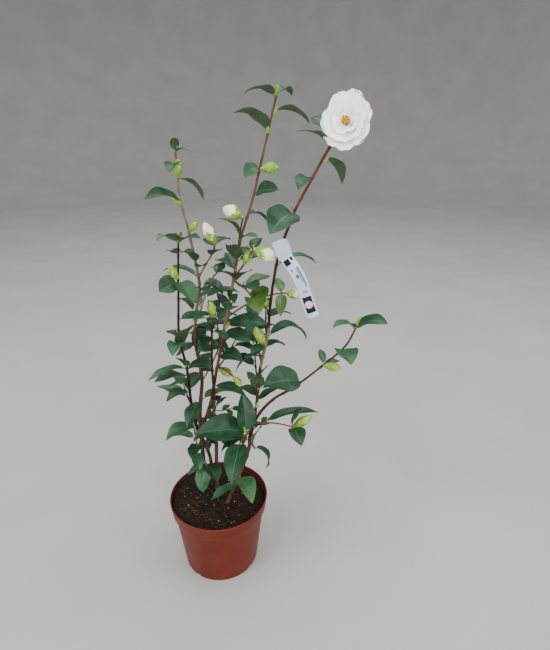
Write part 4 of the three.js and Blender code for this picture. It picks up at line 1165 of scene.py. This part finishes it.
CHIP_FACES = ((0, 2, 4), (2, 1, 4), (1, 3, 4), (3, 0, 4), (2, 0, 5), (1, 2, 5), (3, 1, 5), (0, 3, 5))
chips = Mesh()
for k in range(SOIL_CHIPS + SOIL_WHITE_BITS):
    white = k >= SOIL_CHIPS
    least, more, rarity = SOIL_CHIP
    size = vary(*WHITE_SIZE) if white else least + more * vary() ** rarity
    out = (SOIL_RADIUS - 3 - size) * sqrt(vary())
    x, y, _ = polar(out, vary(0, TURN), 0)
    finish = SOIL_WHITE if white else int(looks.choice(3, p=SOIL_CHIP_SHARES))
    place = (x, y, SOIL_LEVEL - 0.5 + soil_height(x, y))
    flat = WHITE_FLATNESS if white else SOIL_FLATNESS
    chips.add(chip(size, flat) + place, CHIP_FACES, finish)
for k in range(SOIL_FIBRES):
    out = (SOIL_RADIUS - 14) * sqrt(vary())
    place = polar(out, vary(0, TURN), 0)
    length = vary(*FIBRE_LENGTH)
    bend = vary(-FIBRE_BEND, FIBRE_BEND)
    share = np.linspace(-1, 1, 7)
    strand = np.stack([share * length / 2, bend * share ** 2, 0 * share], -1)
    strand = turned(strand, vary(0, 360)) + place
    strand[:, 2] = SOIL_LEVEL + 0.1 + soil_height(strand[:, 0], strand[:, 1])
    add_tube(chips, sweep(strand, np.full(7, FIBRE_RADIUS), 5), int(looks.choice((1, 2))))
make_piece("soil_chips", chips, SOIL_FINISHES, ["potting_mix"], sharp=20)


# Floor and light: a level floor that turns up into a wall far behind the plant on every side

rings = lathe([(1, 0), (300, 0), (1200, 0),
               *[(FLOOR_RADIUS + FLOOR_TURN * sin(a), FLOOR_TURN - FLOOR_TURN * cos(a))
                 for a in np.linspace(0, pi / 2, 24)],
               (FLOOR_RADIUS + FLOOR_TURN, WALL_HEIGHT)], FLOOR_SEGMENTS)
backdrop = Mesh()
backdrop.add(rings, grid_faces(len(rings), FLOOR_SEGMENTS, closed=True))
backdrop.add(rings[0], [list(range(FLOOR_SEGMENTS))])
FLOOR_FINISH = surface("floor_plain", (0.33, 0.315, 0.29), (0.36, 0.345, 0.32), 3, 0.85)
floor = metric_mesh("floor", backdrop, [FLOOR_FINISH])
floor.shade_smooth()
add_object("floor", floor)

# Each light's place and size in metres, power and colour
LIGHTS = dict(
    sky_light=((0.2, 0.5, 3.4), 3.6, 104, (0.94, 0.97, 1)),
    left_light=((-2, -1.6, 2.3), 2.4, 92, (1, 0.98, 0.95)),
    right_light=((2.3, -0.8, 1.7), 2, 38, (0.95, 0.98, 1)),
    front_light=((0.7, -2.9, 1.3), 1.8, 88, (1, 0.99, 0.98)),
)
for name, (place, size, power, colour) in LIGHTS.items():
    lamp = bpy.data.lights.new(name, "AREA")
    lamp.shape = "DISK"
    lamp.size = size
    lamp.energy = power
    lamp.color = colour
    light = add_object(name, lamp)
    light.location = place
    aim = Vector(LIGHT_AIM) - Vector(place)
    light.rotation_euler = aim.to_track_quat("-Z", "Y").to_euler()

world = bpy.data.worlds.new("world")
bpy.context.scene.world = world
world.use_nodes = True
set_inputs(world.node_tree.nodes["Background"], dict(color=(0.86, 0.92, 1, 1), strength=1.2))
